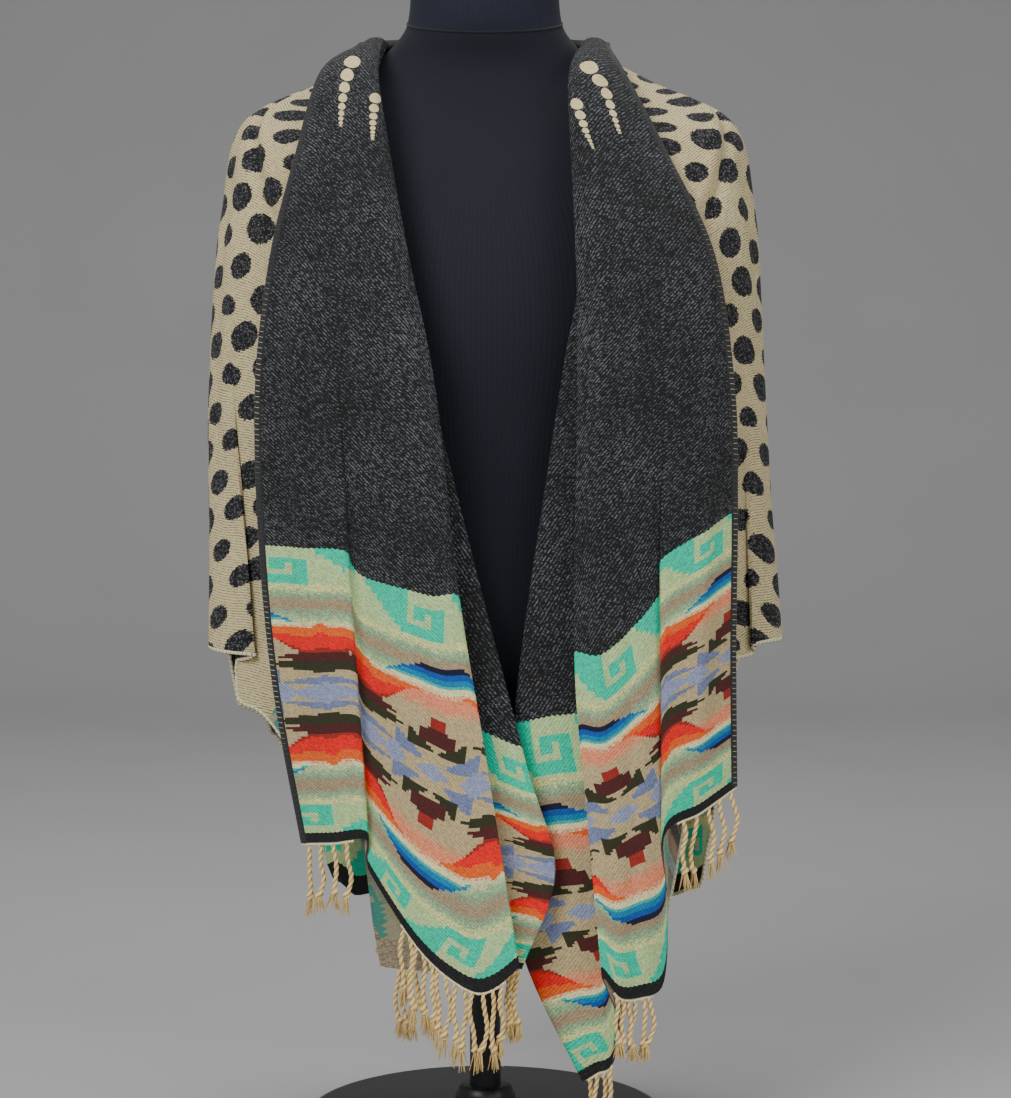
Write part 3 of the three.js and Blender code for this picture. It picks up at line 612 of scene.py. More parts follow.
class Shade:
    """The node tree of one material."""

    def __init__(self, name: str, roughness: float = 0.9, metallic: float = 0.0, sheen: float = 0.0) -> None:
        """Starts a material whose even values are set on the shader's own sockets."""
        self.material = bpy.data.materials.new(name)
        self.material.use_nodes = True
        self.tree = self.material.node_tree
        self.surface = self.tree.nodes["Principled BSDF"]
        self.surface.inputs["Roughness"].default_value = roughness
        self.surface.inputs["Metallic"].default_value = metallic
        self.surface.inputs["Sheen Weight"].default_value = sheen
        self.surface.inputs["Sheen Roughness"].default_value = 0.5

    def node(self, kind: str, settings: dict | None = None, sockets: dict | None = None) -> bpy.types.Node:
        """Adds a node.

        Args:
            kind: Its type.
            settings: Its properties, set first; stops are a ramp's places and colours.
            sockets: Values or links for its inputs, by number or name.

        Returns:
            The node.
        """
        made = self.tree.nodes.new(kind)
        for key, value in (settings or {}).items():
            if key == "stops":
                self._stops(made.color_ramp, value)
            else:
                setattr(made, key, value)
        for key, value in (sockets or {}).items():
            source = value.socket if isinstance(value, Value) else value
            if isinstance(source, Socket):
                self.tree.links.new(source, made.inputs[key])
            elif isinstance(source, tuple) and len(source) == 3 and made.inputs[key].type == "RGBA":
                made.inputs[key].default_value = (*source, 1)
            else:
                made.inputs[key].default_value = source
        return made

    @staticmethod
    def _stops(ramp: bpy.types.ColorRamp, stops: Sequence[tuple[float, Colour]]) -> None:
        """Sets a ramp's stops."""
        while len(ramp.elements) < len(stops):
            ramp.elements.new(1.0)
        for element, (place, colour) in zip(ramp.elements, stops):
            element.position = place
            element.color = (*colour, 1)

    def math(self, operation: str, *values: "Value | float") -> Value:
        """A Math node on one or two values."""
        made = self.node("ShaderNodeMath", {"operation": operation}, dict(enumerate(values)))
        return Value(self, made.outputs[0])

    def mix(
        self, share: "Value | float", low: "Socket | Colour", high: "Socket | Colour", blend: str = "MIX"
    ) -> Socket:
        """Two colours mixed: low where share is 0 and high where it is 1."""
        settings = {"data_type": "RGBA", "blend_type": blend}
        return self.node("ShaderNodeMix", settings, {0: share, 6: low, 7: high}).outputs[2]

    def ramp(self, value: Value, stops: Sequence[tuple[float, Colour]]) -> Socket:
        """A colour for each value, running evenly from stop to stop."""
        return self.node("ShaderNodeValToRGB", {"stops": stops}, {0: value}).outputs[0]

    def layer(self, name: str) -> tuple[Value, Value]:
        """The two values of one of the piece's maps."""
        found = self.node("ShaderNodeUVMap", {"uv_map": name}).outputs[0]
        parts = self.node("ShaderNodeSeparateXYZ", None, {0: found})
        return Value(self, parts.outputs[0]), Value(self, parts.outputs[1])

    def place(self) -> tuple[Value, Value, Value]:
        """The object's own coordinates."""
        found = self.node("ShaderNodeTexCoord").outputs["Object"]
        parts = self.node("ShaderNodeSeparateXYZ", None, {0: found})
        return tuple(Value(self, parts.outputs[k]) for k in range(3))

    def at(self, *values: "Value | float") -> Socket:
        """A vector of up to three values."""
        return self.node("ShaderNodeCombineXYZ", None, dict(enumerate(values))).outputs[0]

    def noise(self, vector: Socket, scale: float, detail: float = 2.0) -> Value:
        """Soft noise from 0 to 1."""
        made = self.node("ShaderNodeTexNoise", None, {"Vector": vector, "Scale": scale, "Detail": detail})
        return Value(self, made.outputs[0])

    def speck(self, across: Value, down: Value, size: float) -> Value:
        """An even chance number for each thread crossing of the given size in metres."""
        cell = self.at((across / size).floor(), (down / size).floor())
        made = self.node("ShaderNodeTexWhiteNoise", {"noise_dimensions": "2D"}, {"Vector": cell})
        return Value(self, made.outputs[0])

    def grain(self, scale: float, detail: float = 2.0, fineness: Sequence[float] = (1, 1, 1)) -> Value:
        """Soft noise in the object's own space, fineness times as fine along each axis."""
        return self.noise(self.at(*(axis * fine for axis, fine in zip(self.place(), fineness))), scale, detail)

    def dress(
        self, colour: Socket, height: Value | None = None, depth: float = 0.0005, strength: float = 0.5
    ) -> None:
        """Feeds the surface its colour and, through a bump, its relief."""
        self.tree.links.new(colour, self.surface.inputs["Base Color"])
        if height is not None:
            sockets = {"Strength": strength, "Distance": depth, "Height": height}
            bump = self.node("ShaderNodeBump", None, sockets)
            self.tree.links.new(bump.outputs[0], self.surface.inputs["Normal"])


# Finishes


@dataclass(frozen=True)
class BorderInks:
    """The colours of the border's bands and figures, from its edge to its middle."""

    fret: Colour
    fret_ground: Colour
    cream: Colour
    mint: Colour
    seafoam: Colour
    taupe: Colour
    navy: Colour
    blue: Colour
    cyan: Colour
    aqua: Colour
    white: Colour
    peach: Colour
    orange: Colour
    coral: Colour
    brick: Colour
    maroon: Colour
    olive: Colour
    sand: Colour
    dusk: Colour
    pale: Colour


BRIGHT = BorderInks(
    fret=ink("00DEB2"), fret_ground=ink("C6E4A0"), cream=ink("FBF3A0"), mint=ink("B6D69A"),
    seafoam=ink("90B894"), taupe=ink("B39A79"), navy=ink("0B1236"), blue=ink("0058B4"),
    cyan=ink("008BBB"), aqua=ink("3FC2B8"), white=ink("FFF7BC"), peach=ink("FF9870"),
    orange=ink("FF6A20"), coral=ink("FF2018"), brick=ink("A82C20"), maroon=ink("551F1C"),
    olive=ink("33341A"), sand=ink("CBB688"), dusk=ink("7C89AE"), pale=ink("9BA5C6"),
)  # fmt: skip
MUTED = BorderInks(
    fret=ink("3E8F80"), fret_ground=ink("9D9A7C"), cream=ink("7F8A74"), mint=ink("838E76"),
    seafoam=ink("8F9380"), taupe=ink("8B7F6A"), navy=ink("9FA3A0"), blue=ink("8A9AA2"),
    cyan=ink("93A7A0"), aqua=ink("8FA596"), white=ink("8C8672"), peach=ink("A98D77"),
    orange=ink("A77C5E"), coral=ink("A56A5B"), brick=ink("B39A80"), maroon=ink("B2A183"),
    olive=ink("A99B7C"), sand=ink("55534A"), dusk=ink("8F8D7C"), pale=ink("A09C88"),
)  # fmt: skip


@dataclass(frozen=True)
class Border:
    """The woven border: bands across the cloth, mirrored about its middle, with a stepped key at either
    edge, and lozenge and arrow figures that take turns along it."""

    repeat: float = 0.128  # metres from one lozenge to the next
    steps: int = 58  # loom steps in a repeat
    rows: int = 64  # loom steps from the edge to the middle
    key_repeat: float = 0.070  # metres from one key to the next
    key_start: float = 0.0635  # metres from a lozenge back to the start of a key
    key_rows: tuple[float, float, float] = (0.006, 0.256, 0.0357)  # its top, its bottom and one row
    lens_base: float = 0.535  # border place of a lens's lower line
    warm_edge: float = 0.545  # border place at which the warm bands start

    def paint(self, shade: Shade, across: Value, down: Value, inks: BorderInks) -> Socket:
        """The border's colour.

        Args:
            shade: The material.
            across: Metres along the border from a lozenge.
            down: 0 at the border's upper edge, 1 in its middle and 2 at its lower edge.
            inks: Its colours.

        Returns:
            A colour socket.
        """
        stepped = ((across * (self.steps / self.repeat)).floor() + 0.5) / self.steps
        far = 1.0 - abs((stepped + WHOLE).fraction() - 0.5) * 2.0
        deep = ((1.0 - abs(down - 1.0)) * self.rows).floor() / self.rows + 0.5 / self.rows
        speck = shade.speck(across, down * (HALF_BORDER * MM), 0.0013)
        colour = shade.ramp(
            deep + (speck - 0.5) * 0.045,
            [
                (0.0, inks.fret_ground), (0.255, inks.fret_ground), (0.262, inks.cream), (0.280, inks.cream),
                (0.295, inks.mint), (0.33, inks.seafoam), (0.365, inks.taupe), (0.41, inks.taupe),
                (0.445, inks.seafoam), (0.49, inks.mint), (0.525, inks.white), (0.55, inks.peach),
                (0.62, inks.peach), (0.66, inks.sand), (1.0, inks.sand),
            ],
        )  # fmt: skip
        colour = self._key(shade, colour, across, deep, inks)
        colour = self._lens(shade, colour, far, deep, inks)
        colour = self._wedges(shade, colour, far, deep, inks)
        return self._figures(shade, colour, far, deep, inks)

    def _key(self, shade: Shade, colour: Socket, across: Value, deep: Value, inks: BorderInks) -> Socket:
        """Stairs with a squared hook, on a chart of fourteen columns and seven rows."""
        column = (((across + self.key_start) / self.key_repeat + WHOLE).fraction() * 14.0).floor()
        top, bottom, height = self.key_rows
        row = ((deep - top) / height).floor()
        stair = (column < 6.5) * (row < column + 0.5)
        foot = column.between(6.5, 12.5) * (row > 4.5)
        post = column.between(10.5, 12.5) * row.between(1.5, 4.5)
        head = column.between(7.5, 10.5) * row.between(1.5, 2.5)
        hook = column.between(7.5, 9.5) * row.between(2.5, 3.5)
        figure = (stair + foot + post + head + hook) * deep.between(top, bottom)
        return shade.mix(figure.least(1.0), colour, inks.fret)

    def _lens(self, shade: Shade, colour: Socket, far: Value, deep: Value, inks: BorderInks) -> Socket:
        """A long lens at each lozenge: layers stacked up from one line, each ending in its own tip."""
        top = self.lens_base
        layers = (
            (inks.white, 0.95, 0.032), (inks.aqua, 0.86, 0.022), (inks.cyan, 0.74, 0.028),
            (inks.blue, 0.58, 0.034), (inks.navy, 0.36, 0.034),
        )  # fmt: skip
        edges = []
        for _, tip, thick in layers:
            top = top - ((tip - far) * (2.6 / tip)).least(1.0).most(0.0) * thick
            edges.append(top)
        for edge, (tint, tip, _) in zip(reversed(edges), reversed(layers)):
            colour = shade.mix(deep.between(edge, self.lens_base) * (far < tip), colour, tint)
        return colour

    def _wedges(self, shade: Shade, colour: Socket, far: Value, deep: Value, inks: BorderInks) -> Socket:
        """Warm bands between the lozenges: three swoop to a tip on either side, thick * t * (2 - t) high for
        t from 0 at the tip to 1 in the middle, and below them lie two leaves, thick * (1 - r * r) high
        either way for r from 0 in the middle to 1 at the tip."""
        edge = self.warm_edge - (far - 0.9).most(0.0) * 0.35
        swoops = ((inks.orange, 0.20, 0.066), (inks.coral, 0.42, 0.100), (inks.brick, 0.58, 0.042))
        for tint, tip, thick in swoops:
            t = (far - tip).most(0.0) / (1 - tip)
            below = edge + t * (2.0 - t) * thick
            colour = shade.mix(deep.between(edge, below), colour, tint)
            edge = below
        near = 1.0 - far
        leaves = ((inks.maroon, 0.748, 0.02, 0.036, 0.46), (inks.olive, 0.822, -0.04, 0.034, 0.60))
        for tint, at, slant, thick, reach in leaves:
            share = near / reach
            offset = abs(deep - (near * slant + at))
            colour = shade.mix(offset < (1.0 - share * share) * thick, colour, tint)
        return colour

    @staticmethod
    def _figures(shade: Shade, colour: Socket, far: Value, deep: Value, inks: BorderInks) -> Socket:
        """Stepped lozenge of blocks and leaves below each lens, and stacked leaves between."""
        near = 1.0 - far
        blocks = (
            (inks.dusk, far.between(0.16, 0.56) * deep.between(0.968 - far * 0.24, 0.952)),
            (inks.pale, far.between(0.36, 0.74) * (deep > 0.925 + abs(far - 0.55) * 0.36)),
            (inks.olive, far.between(0.05, 0.38) * deep.between(0.888 - far * 0.26, 0.888)),
            (inks.maroon, (far < 0.235) * deep.between(0.765, 0.838)),
            (inks.maroon, (far < 0.13) * deep.between(0.745, 0.77)),
            (inks.brick, (far < 0.12) * deep.between(0.69, 0.75)),
            (inks.pale, far < (deep - 0.944) * 4.2),
            (inks.dusk, (near < 0.44) * deep.between(0.878 + near * 0.12, 0.938)),
            (inks.pale, near < 0.36 - (0.995 - deep) * 5.0),
        )
        for tint, where in blocks:
            colour = shade.mix(where, colour, tint)
        return colour


@dataclass(frozen=True)
class Dots:
    """Chains of dots along the cloth, of uneven size, every other chain moved half a step."""

    across: float = 0.0335  # metres between chains
    along: float = 0.0355  # metres between the dots of a chain
    least: float = 0.0098  # radius of the smallest dot
    more: float = 0.0044  # how much larger the largest is
    reach: float = 0.085  # how far a shrinking chain runs
    ratio: float = 0.78  # each of its steps to the one before
    grain: float = 0.0015  # the loom step at a dot's rim
    stray: float = 0.0022  # how far a dot lies off the middle of its chain, at most
    rag: float = 0.0022  # how uneven its rim is
    ends: float = -0.75  # border place beyond which no dot has its middle

    def mask(self, shade: Shade, across: Value, down: Value, place: Value) -> Value:
        """1 on a dot, with a woven, slightly ragged rim. place is the border's, for where the chains end."""
        u, v = (((axis / self.grain).floor() + 0.5) * self.grain for axis in (across, down))
        chain = (u / self.across).floor()
        moved = v / self.along + (chain * 0.5 + WHOLE).fraction()
        number = moved.floor()
        radius = ((number * 0.23 + chain * 0.37).wave() * 0.5 + 0.5) * self.more + self.least
        side = (number * 0.41 + chain * 0.29).wave() * self.stray
        du = ((u / self.across + WHOLE).fraction() - 0.5) * self.across + side
        dv = (moved.fraction() - 0.5) * self.along
        reach = shade.math("SQRT", du * du + dv * dv * 1.06)
        ragged = shade.noise(shade.at(across, down), 420, 1.0) * self.rag
        return (reach + ragged < radius + self.rag / 2) * (place - dv / (HALF_BORDER * MM) < self.ends)

    def shrinking(self, along: Value, aside: Value, scale: float) -> Value:
        """1 on a chain whose steps shrink evenly: a step's number is the logarithm of what is left."""
        left = (1.0 - along / (self.reach * scale)).most(0.02)
        number = left.shade.math("LOGARITHM", left, self.ratio)
        step = left.shade.math("POWER", self.ratio, number.floor()) * (self.reach * scale * (1 - self.ratio))
        offset = (number.fraction() - 0.47) * 2.05
        width = aside / (step * 0.38 + 0.0006)
        return (offset * offset + width * width < 0.86) * (along > 0.0) * (left > 0.12)


def mottled(name: str, dark: Colour, light: Colour, size: float) -> Material:
    """Thread of one colour, mottled in patches of the given size in metres."""
    shade = Shade(name, 0.9, sheen=0.1)
    grain = shade.grain(1 / size)
    shade.dress(shade.mix(grain, dark, light), grain, 0.0004)
    return shade.material


class Weave:
    """The two faces of the cloth, its cut edge, and what is sewn on it."""

    band_top = 1.992  # border place at which face A's dark band starts
    plain_top = 1.95  # border place at which face B's plain band starts

    def __init__(self) -> None:
        """Makes every cloth material."""
        self.border = Border()
        self.dots = Dots()
        self.face_a = self._face_a()
        self.face_b = self._face_b()
        self.cut = mottled("cloth_cut_edge", ink("222326"), ink("4A4A48"), 0.0011)
        self.binding = self._binding()
        self.tick = self._tick()
        self.cord = self._cord()
        self.header = mottled("hem_cream_weft", ink("CDBF97"), ink("E9DFBD"), 0.0011)

    @property
    def cloth(self) -> list[Material]:
        """The materials of a cloth shell in order: face A, face B, cut edge."""
        return [self.face_a, self.face_b, self.cut]

    def _face_a(self) -> Material:
        """Charcoal twill with light flecks, cream dots near the neck, the bright border and its dark band."""
        shade = Shade("cloth_face_a_charcoal", 0.95, sheen=0.02)
        across, down = shade.layer("thread")
        along, place = shade.layer("border")
        reach, aside = shade.layer("chain")
        rib = ((across - down) / 0.0027).wave() * 0.5 + 0.5
        fleck = shade.speck(across - down, down, 0.00105)
        cloudy = shade.noise(shade.at(across, down), 11, 3)
        light = (rib * 0.42 + fleck * 0.70 + cloudy * 0.62).step(0.86, 1.62)
        field = shade.mix(light, ink("090A0C"), ink("6E7176"))
        band = shade.mix(light * 0.45, ink("0B0B0C"), ink("454443"))
        dot = self.dots.shrinking(reach, aside, 1.0) + self.dots.shrinking(reach - 0.039, aside - 0.026, 0.6)
        field = shade.mix(dot.least(1.0), field, shade.mix(fleck * 0.5, ink("DCCB9C"), ink("A1926C")))
        bright = self.border.paint(shade, along, place, BRIGHT)
        thread = shade.ramp(rib * 0.35 + fleck * 0.65, [(0.0, (0.47, 0.46, 0.45)), (1.0, (1.0, 1.0, 1.0))])
        bright = shade.mix(1.0, bright, thread, "MULTIPLY")
        teeth = self._teeth(across)
        colour = shade.mix(place > teeth, field, bright)
        colour = shade.mix(place > self.band_top + teeth, colour, band)
        shade.dress(colour, rib * 0.7 + fleck * 0.5)
        return shade.material

    def _face_b(self) -> Material:
        """Beige with black dots in chains, and the border's reverse in muted colours."""
        shade = Shade("cloth_face_b_beige", 0.95, sheen=0.02)
        across, down = shade.layer("thread")
        along, place = shade.layer("border")
        sway = shade.noise(shade.at(across, down), 70, 2)
        rib = (down / 0.0021 + sway * 1.3).wave() * 0.5 + 0.5
        fleck = shade.speck(across, down, 0.0011)
        cloudy = shade.noise(shade.at(across, down), 14, 3)
        light = (rib * 0.62 + fleck * 0.35 + cloudy * 0.25).step(0.12, 0.72)
        ground = shade.mix(light, ink("6E6245"), ink("CFC094"))
        black = shade.mix((fleck * 2.0 - 1.3).most(0.0), ink("08090D"), ink("6F6F72"))
        dot = self.dots.mask(shade, across, down, place)
        plain = shade.mix(dot, ground, black)
        muted = shade.mix(fleck * 0.3, self.border.paint(shade, along, place, MUTED), ink("57503F"))
        teeth = self._teeth(across)
        colour = shade.mix(place > teeth, plain, muted)
        colour = shade.mix(place > self.plain_top + teeth, colour, shade.mix(fleck, ink("6E6350"), ink("A89B80")))
        shade.dress(colour, rib * 0.7 + fleck * 0.4)
        return shade.material

    @staticmethod
    def _teeth(across: Value) -> Value:
        """The small teeth at which the border's ground meets the cloth's."""
        return abs(((across + 4.0) / 0.0042).fraction() - 0.5) * 0.015

    @staticmethod
    def _tick() -> Material:
        """Thin thread across the overlock, cream on some stretches and near black on others."""
        shade = Shade("binding_fine_thread", 0.85, sheen=0.1)
        patch = shade.grain(9, 1, (2, 2, 1)).step(0.42, 0.60)
        shade.dress(shade.mix(patch, ink("34353A"), ink("B5AC92")))
        return shade.material

    @staticmethod
    def _binding() -> Material:
        """Black overlocked thread, wound close round the edge."""
        shade = Shade("binding_black_thread", 0.82, sheen=0.1)
        around, along = shade.layer("around")
        grain = shade.grain(700)
        wound = (along * 640.0 + around * 0.8).wave() * 0.5 + 0.5
        colour = shade.mix((wound * 0.6 + grain * 0.5).step(0.4, 1.1), ink("0C0C0E"), ink("3C3D40"))
        shade.dress(colour, wound + grain * 0.4, 0.0006, 0.7)
        return shade.material

    @staticmethod
    def _cord() -> Material:
        """Cream cotton cord, with painted shade in the grooves where its two plies meet."""
        shade = Shade("fringe_cream_cord", 0.85, sheen=0.2)
        # the rope's ply lobe, low in the grooves between the plies, where the colour is darkened as painted shade
        groove_shade = shade.layer("around")[0]
        fibre = shade.grain(1500, 2, (1, 1, 0.35))
        # fibre grain plus painted shade in the grooves between the plies
        tone = (fibre * 0.5 + groove_shade * 0.6).step(0.2, 0.85)
        shade.dress(shade.mix(tone, ink("8A6C36"), ink("EDCD88")), fibre, 0.0004, 0.6)
        return shade.material


class Hardware:
    """The finishes of the form and its stand."""

    def __init__(self) -> None:
        """Makes the materials."""
        self.jersey = self._jersey()
        self.piping = mottled("neckline_piping", ink("050609"), ink("0F121B"), 0.0012)
        self.cap = self._satin("neck_cap_moulded", ink("0D0D0F"), 0.55, 0.0)
        self.metal = self._satin("stand_black_paint", ink("141517"), 0.36, 0.35)

    @staticmethod
    def _jersey() -> Material:
        """Black jersey in fine upright ribs, a little greyer above the neckline seam."""
        shade = Shade("form_black_jersey", 0.88, sheen=0.03)
        x, y, z = shade.place()
        turn = shade.math("ARCTAN2", y, x)
        rib = (turn * 26.0).wave() * 0.5 + 0.5
        loop = shade.grain(620, 2, (1, 1, 2.4))
        above = (z - y * SEAM_RISE - SEAM_HEIGHT).step(-0.0006, 0.0006)
        low = shade.mix((rib * 0.2 + loop * 0.8).step(0.3, 1.1), ink("03050E"), ink("0C1433"))
        high = shade.mix((rib * 0.25 + loop * 0.7).step(0.2, 1.0), ink("070A16"), ink("161E3C"))
        shade.dress(shade.mix(above, low, high), rib * 0.5 + loop * 0.5, 0.0004, 0.35)
        return shade.material

    @staticmethod
    def _satin(name: str, base: Colour, roughness: float, metallic: float) -> Material:
        """A smooth painted or moulded finish with faint unevenness."""
        shade = Shade(name, roughness, metallic)
        grain = shade.grain(240, 3)
        shade.dress(shade.mix(grain, base, tuple(c * 1.6 + 0.004 for c in base)), grain, 0.0002, 0.15)
        return shade.material


# Sub-assemblies


@dataclass(frozen=True)
class Crease:
    """A soft ridge or trough of the cloth, from one place to another, each a column and a level."""

    start: tuple[float, float]
    end: tuple[float, float]
    depth: float  # outwards
    width: float


# Creases of the fronts, whose columns are line numbers
CREASES = {
    Side.RIGHT: (
        Crease((0.9, 1.2), (1.1, 4.6), 3.0, 8), Crease((5.1, 1.4), (5.3, 3.9), -3.2, 8),
        Crease((6.0, 1.9), (6.3, 4.9), 3.0, 9), Crease((5.2, 4.0), (5.6, 6.6), -2.6, 9),
        Crease((0.6, 3.2), (0.7, 6.4), -2.0, 7),
    ),
    Side.LEFT: (
        Crease((0.9, 1.1), (1.0, 3.9), -3.0, 8), Crease((0.8, 3.6), (1.0, 6.2), 2.4, 8),
        Crease((5.2, 1.3), (5.4, 4.2), -3.4, 8), Crease((5.7, 1.9), (6.2, 5.2), 3.2, 9),
        Crease((5.0, 4.8), (5.3, 6.8), -2.2, 8),
    ),
}  # fmt: skip

# Creases of the body wall, whose columns are turns
BODY_CREASES = {
    Side.RIGHT: (
        Crease((0.27, 1.75), (0.13, 3.15), -4.8, 5.5), Crease((0.23, 1.7), (0.10, 3.0), 3.0, 6),
        Crease((0.33, 2.4), (0.35, 5.0), -2.8, 9), Crease((0.46, 1.2), (0.50, 3.0), -2.6, 10),
        Crease((0.58, 1.6), (0.60, 4.2), 3.2, 12), Crease((0.74, 1.1), (0.72, 3.4), -2.6, 11),
        Crease((0.88, 1.8), (0.86, 5.2), 2.8, 12),
    ),
    Side.LEFT: (
        Crease((0.32, 1.8), (0.14, 3.05), -4.8, 5.5), Crease((0.27, 1.75), (0.10, 2.95), 3.0, 6),
        Crease((0.31, 2.6), (0.33, 5.6), -2.6, 9), Crease((0.44, 1.5), (0.47, 3.6), -3.0, 10),
        Crease((0.61, 1.3), (0.63, 3.9), 2.8, 12), Crease((0.79, 1.5), (0.78, 4.4), -2.8, 11),
        Crease((0.92, 1.1), (0.93, 3.1), 2.4, 10),
    ),
}  # fmt: skip

# Figures of the border on each front: line at which a column lies in mid-border, drift of the line per
# half border, half repeats from the panel's lozenge, and how much closer together the figures are drawn
COLUMNS = {
    Side.RIGHT: ((1.3, 0.0, -1, 0.72), (5.46, -0.9, 0, 1.0), (11.0, 0.0, 1, 1.0)),
    Side.LEFT: ((0.25, 0.0, 10, 1.0), (5.46, -1.45, 8, 1.0), (9.4, -1.4, 6, 1.0)),
}
# Where each front's chain of cream dots starts and ends: line and level
CHAINS = {Side.RIGHT: ((4.5, 0.75), (3.9, 1.65)), Side.LEFT: ((5.3, 0.85), (2.0, 1.95))}
# Where the border runs off the body wall: angles in front and behind between which it drops away
DIVES = {Side.RIGHT: ((20, 80), (146, 118)), Side.LEFT: ((34, 56), (128, 104))}

# Fringes of each front: node, the two lines between which it hangs, strands, length
FRINGES = {
    Side.RIGHT: (
        ("right_front_fringe_outer", 0, 1.6, 4, 57), ("right_front_fringe_inner", 4.5, 6.7, 13, 63),
        ("right_strip_fringe", 9, 10.7, 4, 55),
    ),
    Side.LEFT: (
        ("left_front_fringe_outer", 0, 1.6, 5, 59), ("left_front_fringe_inner", 4.5, 6.4, 6, 49),
        ("left_strip_fringe", 9, 10.7, 4, 55),
    ),
}  # fmt: skip


def creased(
    grid: np.ndarray, places: np.ndarray, levels: np.ndarray, creases: Sequence[Crease], facing: int
) -> np.ndarray:
    """The grid with creases: each moves points along the normal by its depth times a bell of the distance
    from its line, measured on the cloth, and times a bell that fades its ends.

    Args:
        grid: Columns by rows by 3.
        places: The column parameter.
        levels: The row parameter.
        creases: The creases.
        facing: The sign that makes across times down point outwards.

    Returns:
        The moved grid.
    """
    normal = surface_normal(grid, facing)
    span, drop = run_lengths(grid, 0), run_lengths(grid, 1)
    moved = grid.copy()
    for crease in creases:
        (here, top), (there, end) = crease.start, crease.end
        share = np.clip((levels - top) / (end - top), 0, 1)
        offset = span - at_column(span, places, here + (there - here) * share)
        first, last = (drop[:, [np.searchsorted(levels, level)]] for level in (top, end))
        past = drop - np.clip(drop, first, last)
        bell = np.exp(-((offset / crease.width) ** 2)) * np.exp(-((past / CREASE_FADE) ** 2))
        moved = moved + normal * (crease.depth * bell)[..., None]
    return moved


def settle(piece: Piece, slot: str, *nodes: str) -> Piece:
    """Seats a piece on the part's body and hides the solids that it stands for."""
    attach(piece, "root")
    if nodes:
        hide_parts(*nodes)
    log.info("%s: %d faces", piece.name, len(piece.data.polygons))
    return piece


@dataclass
class DressForm:
    """A limbless form on a round stand."""

    hardware: Hardware
    sides: int = 96
    neckline: float = 887.0  # height of the piping's middle
    tilt: float = 12.5  # how far it dips in front and rises behind
    piping: float = 0.8  # its radius

    def build(self) -> None:
        """Builds torso, neckline piping, cap and stand."""
        own = self.hardware
        settle(self._torso().object("form_torso", [own.jersey]), "jersey", "form_body")
        settle(self._piping().object("form_neckline_piping", [own.piping]), "jersey")
        for name, profile, shift, finish, slot, node in (
            ("form_neck_cap", CAP, 8.0, own.cap, "cap", "neck_cap"),
            ("stand_pole_and_flange", POLE, 0.0, own.metal, "steel", "stand_pole"),
            ("stand_round_base", BASE, 0.0, own.metal, "steel", "stand_base"),
            ("stand_base_collar", COLLAR, 0.0, own.metal, "steel", "stand_collar"),
        ):
            settle(self._turned(profile, shift).object(name, [finish]), slot, node)

    def _section(self, height: np.ndarray) -> tuple[np.ndarray, np.ndarray, np.ndarray]:
        """Half-width, half-depth and shift of the torso at heights, between its sections."""
        rows = smooth_run(FORM_SECTIONS, np.linspace(0, len(FORM_SECTIONS) - 1, 180))
        return tuple(np.interp(height, rows[:, 0], rows[:, k]) for k in (1, 2, 3))

    def _torso(self) -> Build:
        """Ellipses stacked on a smooth run through the section table."""
        rows = smooth_run(FORM_SECTIONS, np.linspace(0, len(FORM_SECTIONS) - 1, 120))[None]
        zero = np.zeros(rows.shape[:2])
        centres = np.stack([zero, rows[..., 3], rows[..., 0]], axis=-1)
        wide = np.stack([rows[..., 1], zero, zero], axis=-1)
        deep = np.stack([zero, rows[..., 2], zero], axis=-1)
        return tubes(centres, wide, deep, np.full(rows.shape[:2] + (self.sides,), 0.999))

    def _piping(self) -> Build:
        """A thin round cord on the torso, on a level ring that dips by the sine of the angle in front."""
        angle = np.linspace(0, 2 * np.pi, 161)[None]
        z = self.neckline + self.tilt * np.sin(angle)
        wide, deep, shift = self._section(z)
        centres = np.stack([wide * np.cos(angle), shift + deep * np.sin(angle), z], axis=-1)
        out = unit(np.stack([np.cos(angle), np.sin(angle), 0 * angle], axis=-1))
        return tubes(centres, out, steady(0, 0, -1, out.shape), np.full(angle.shape + (8,), self.piping))

    def _turned(self, profile: Sequence[tuple[float, float]], shift: float) -> Build:
        """A surface of revolution from a profile of heights and radii."""
        rows = np.array(profile, float)[None]
        zero = np.zeros(rows.shape[:2])
        centres = np.stack([zero, zero + shift, rows[..., 0]], axis=-1)
        first, second = steady(1, 0, 0, centres.shape), steady(0, 1, 0, centres.shape)
        return tubes(centres, first, second, np.repeat(rows[..., 1:], self.sides, axis=-1))


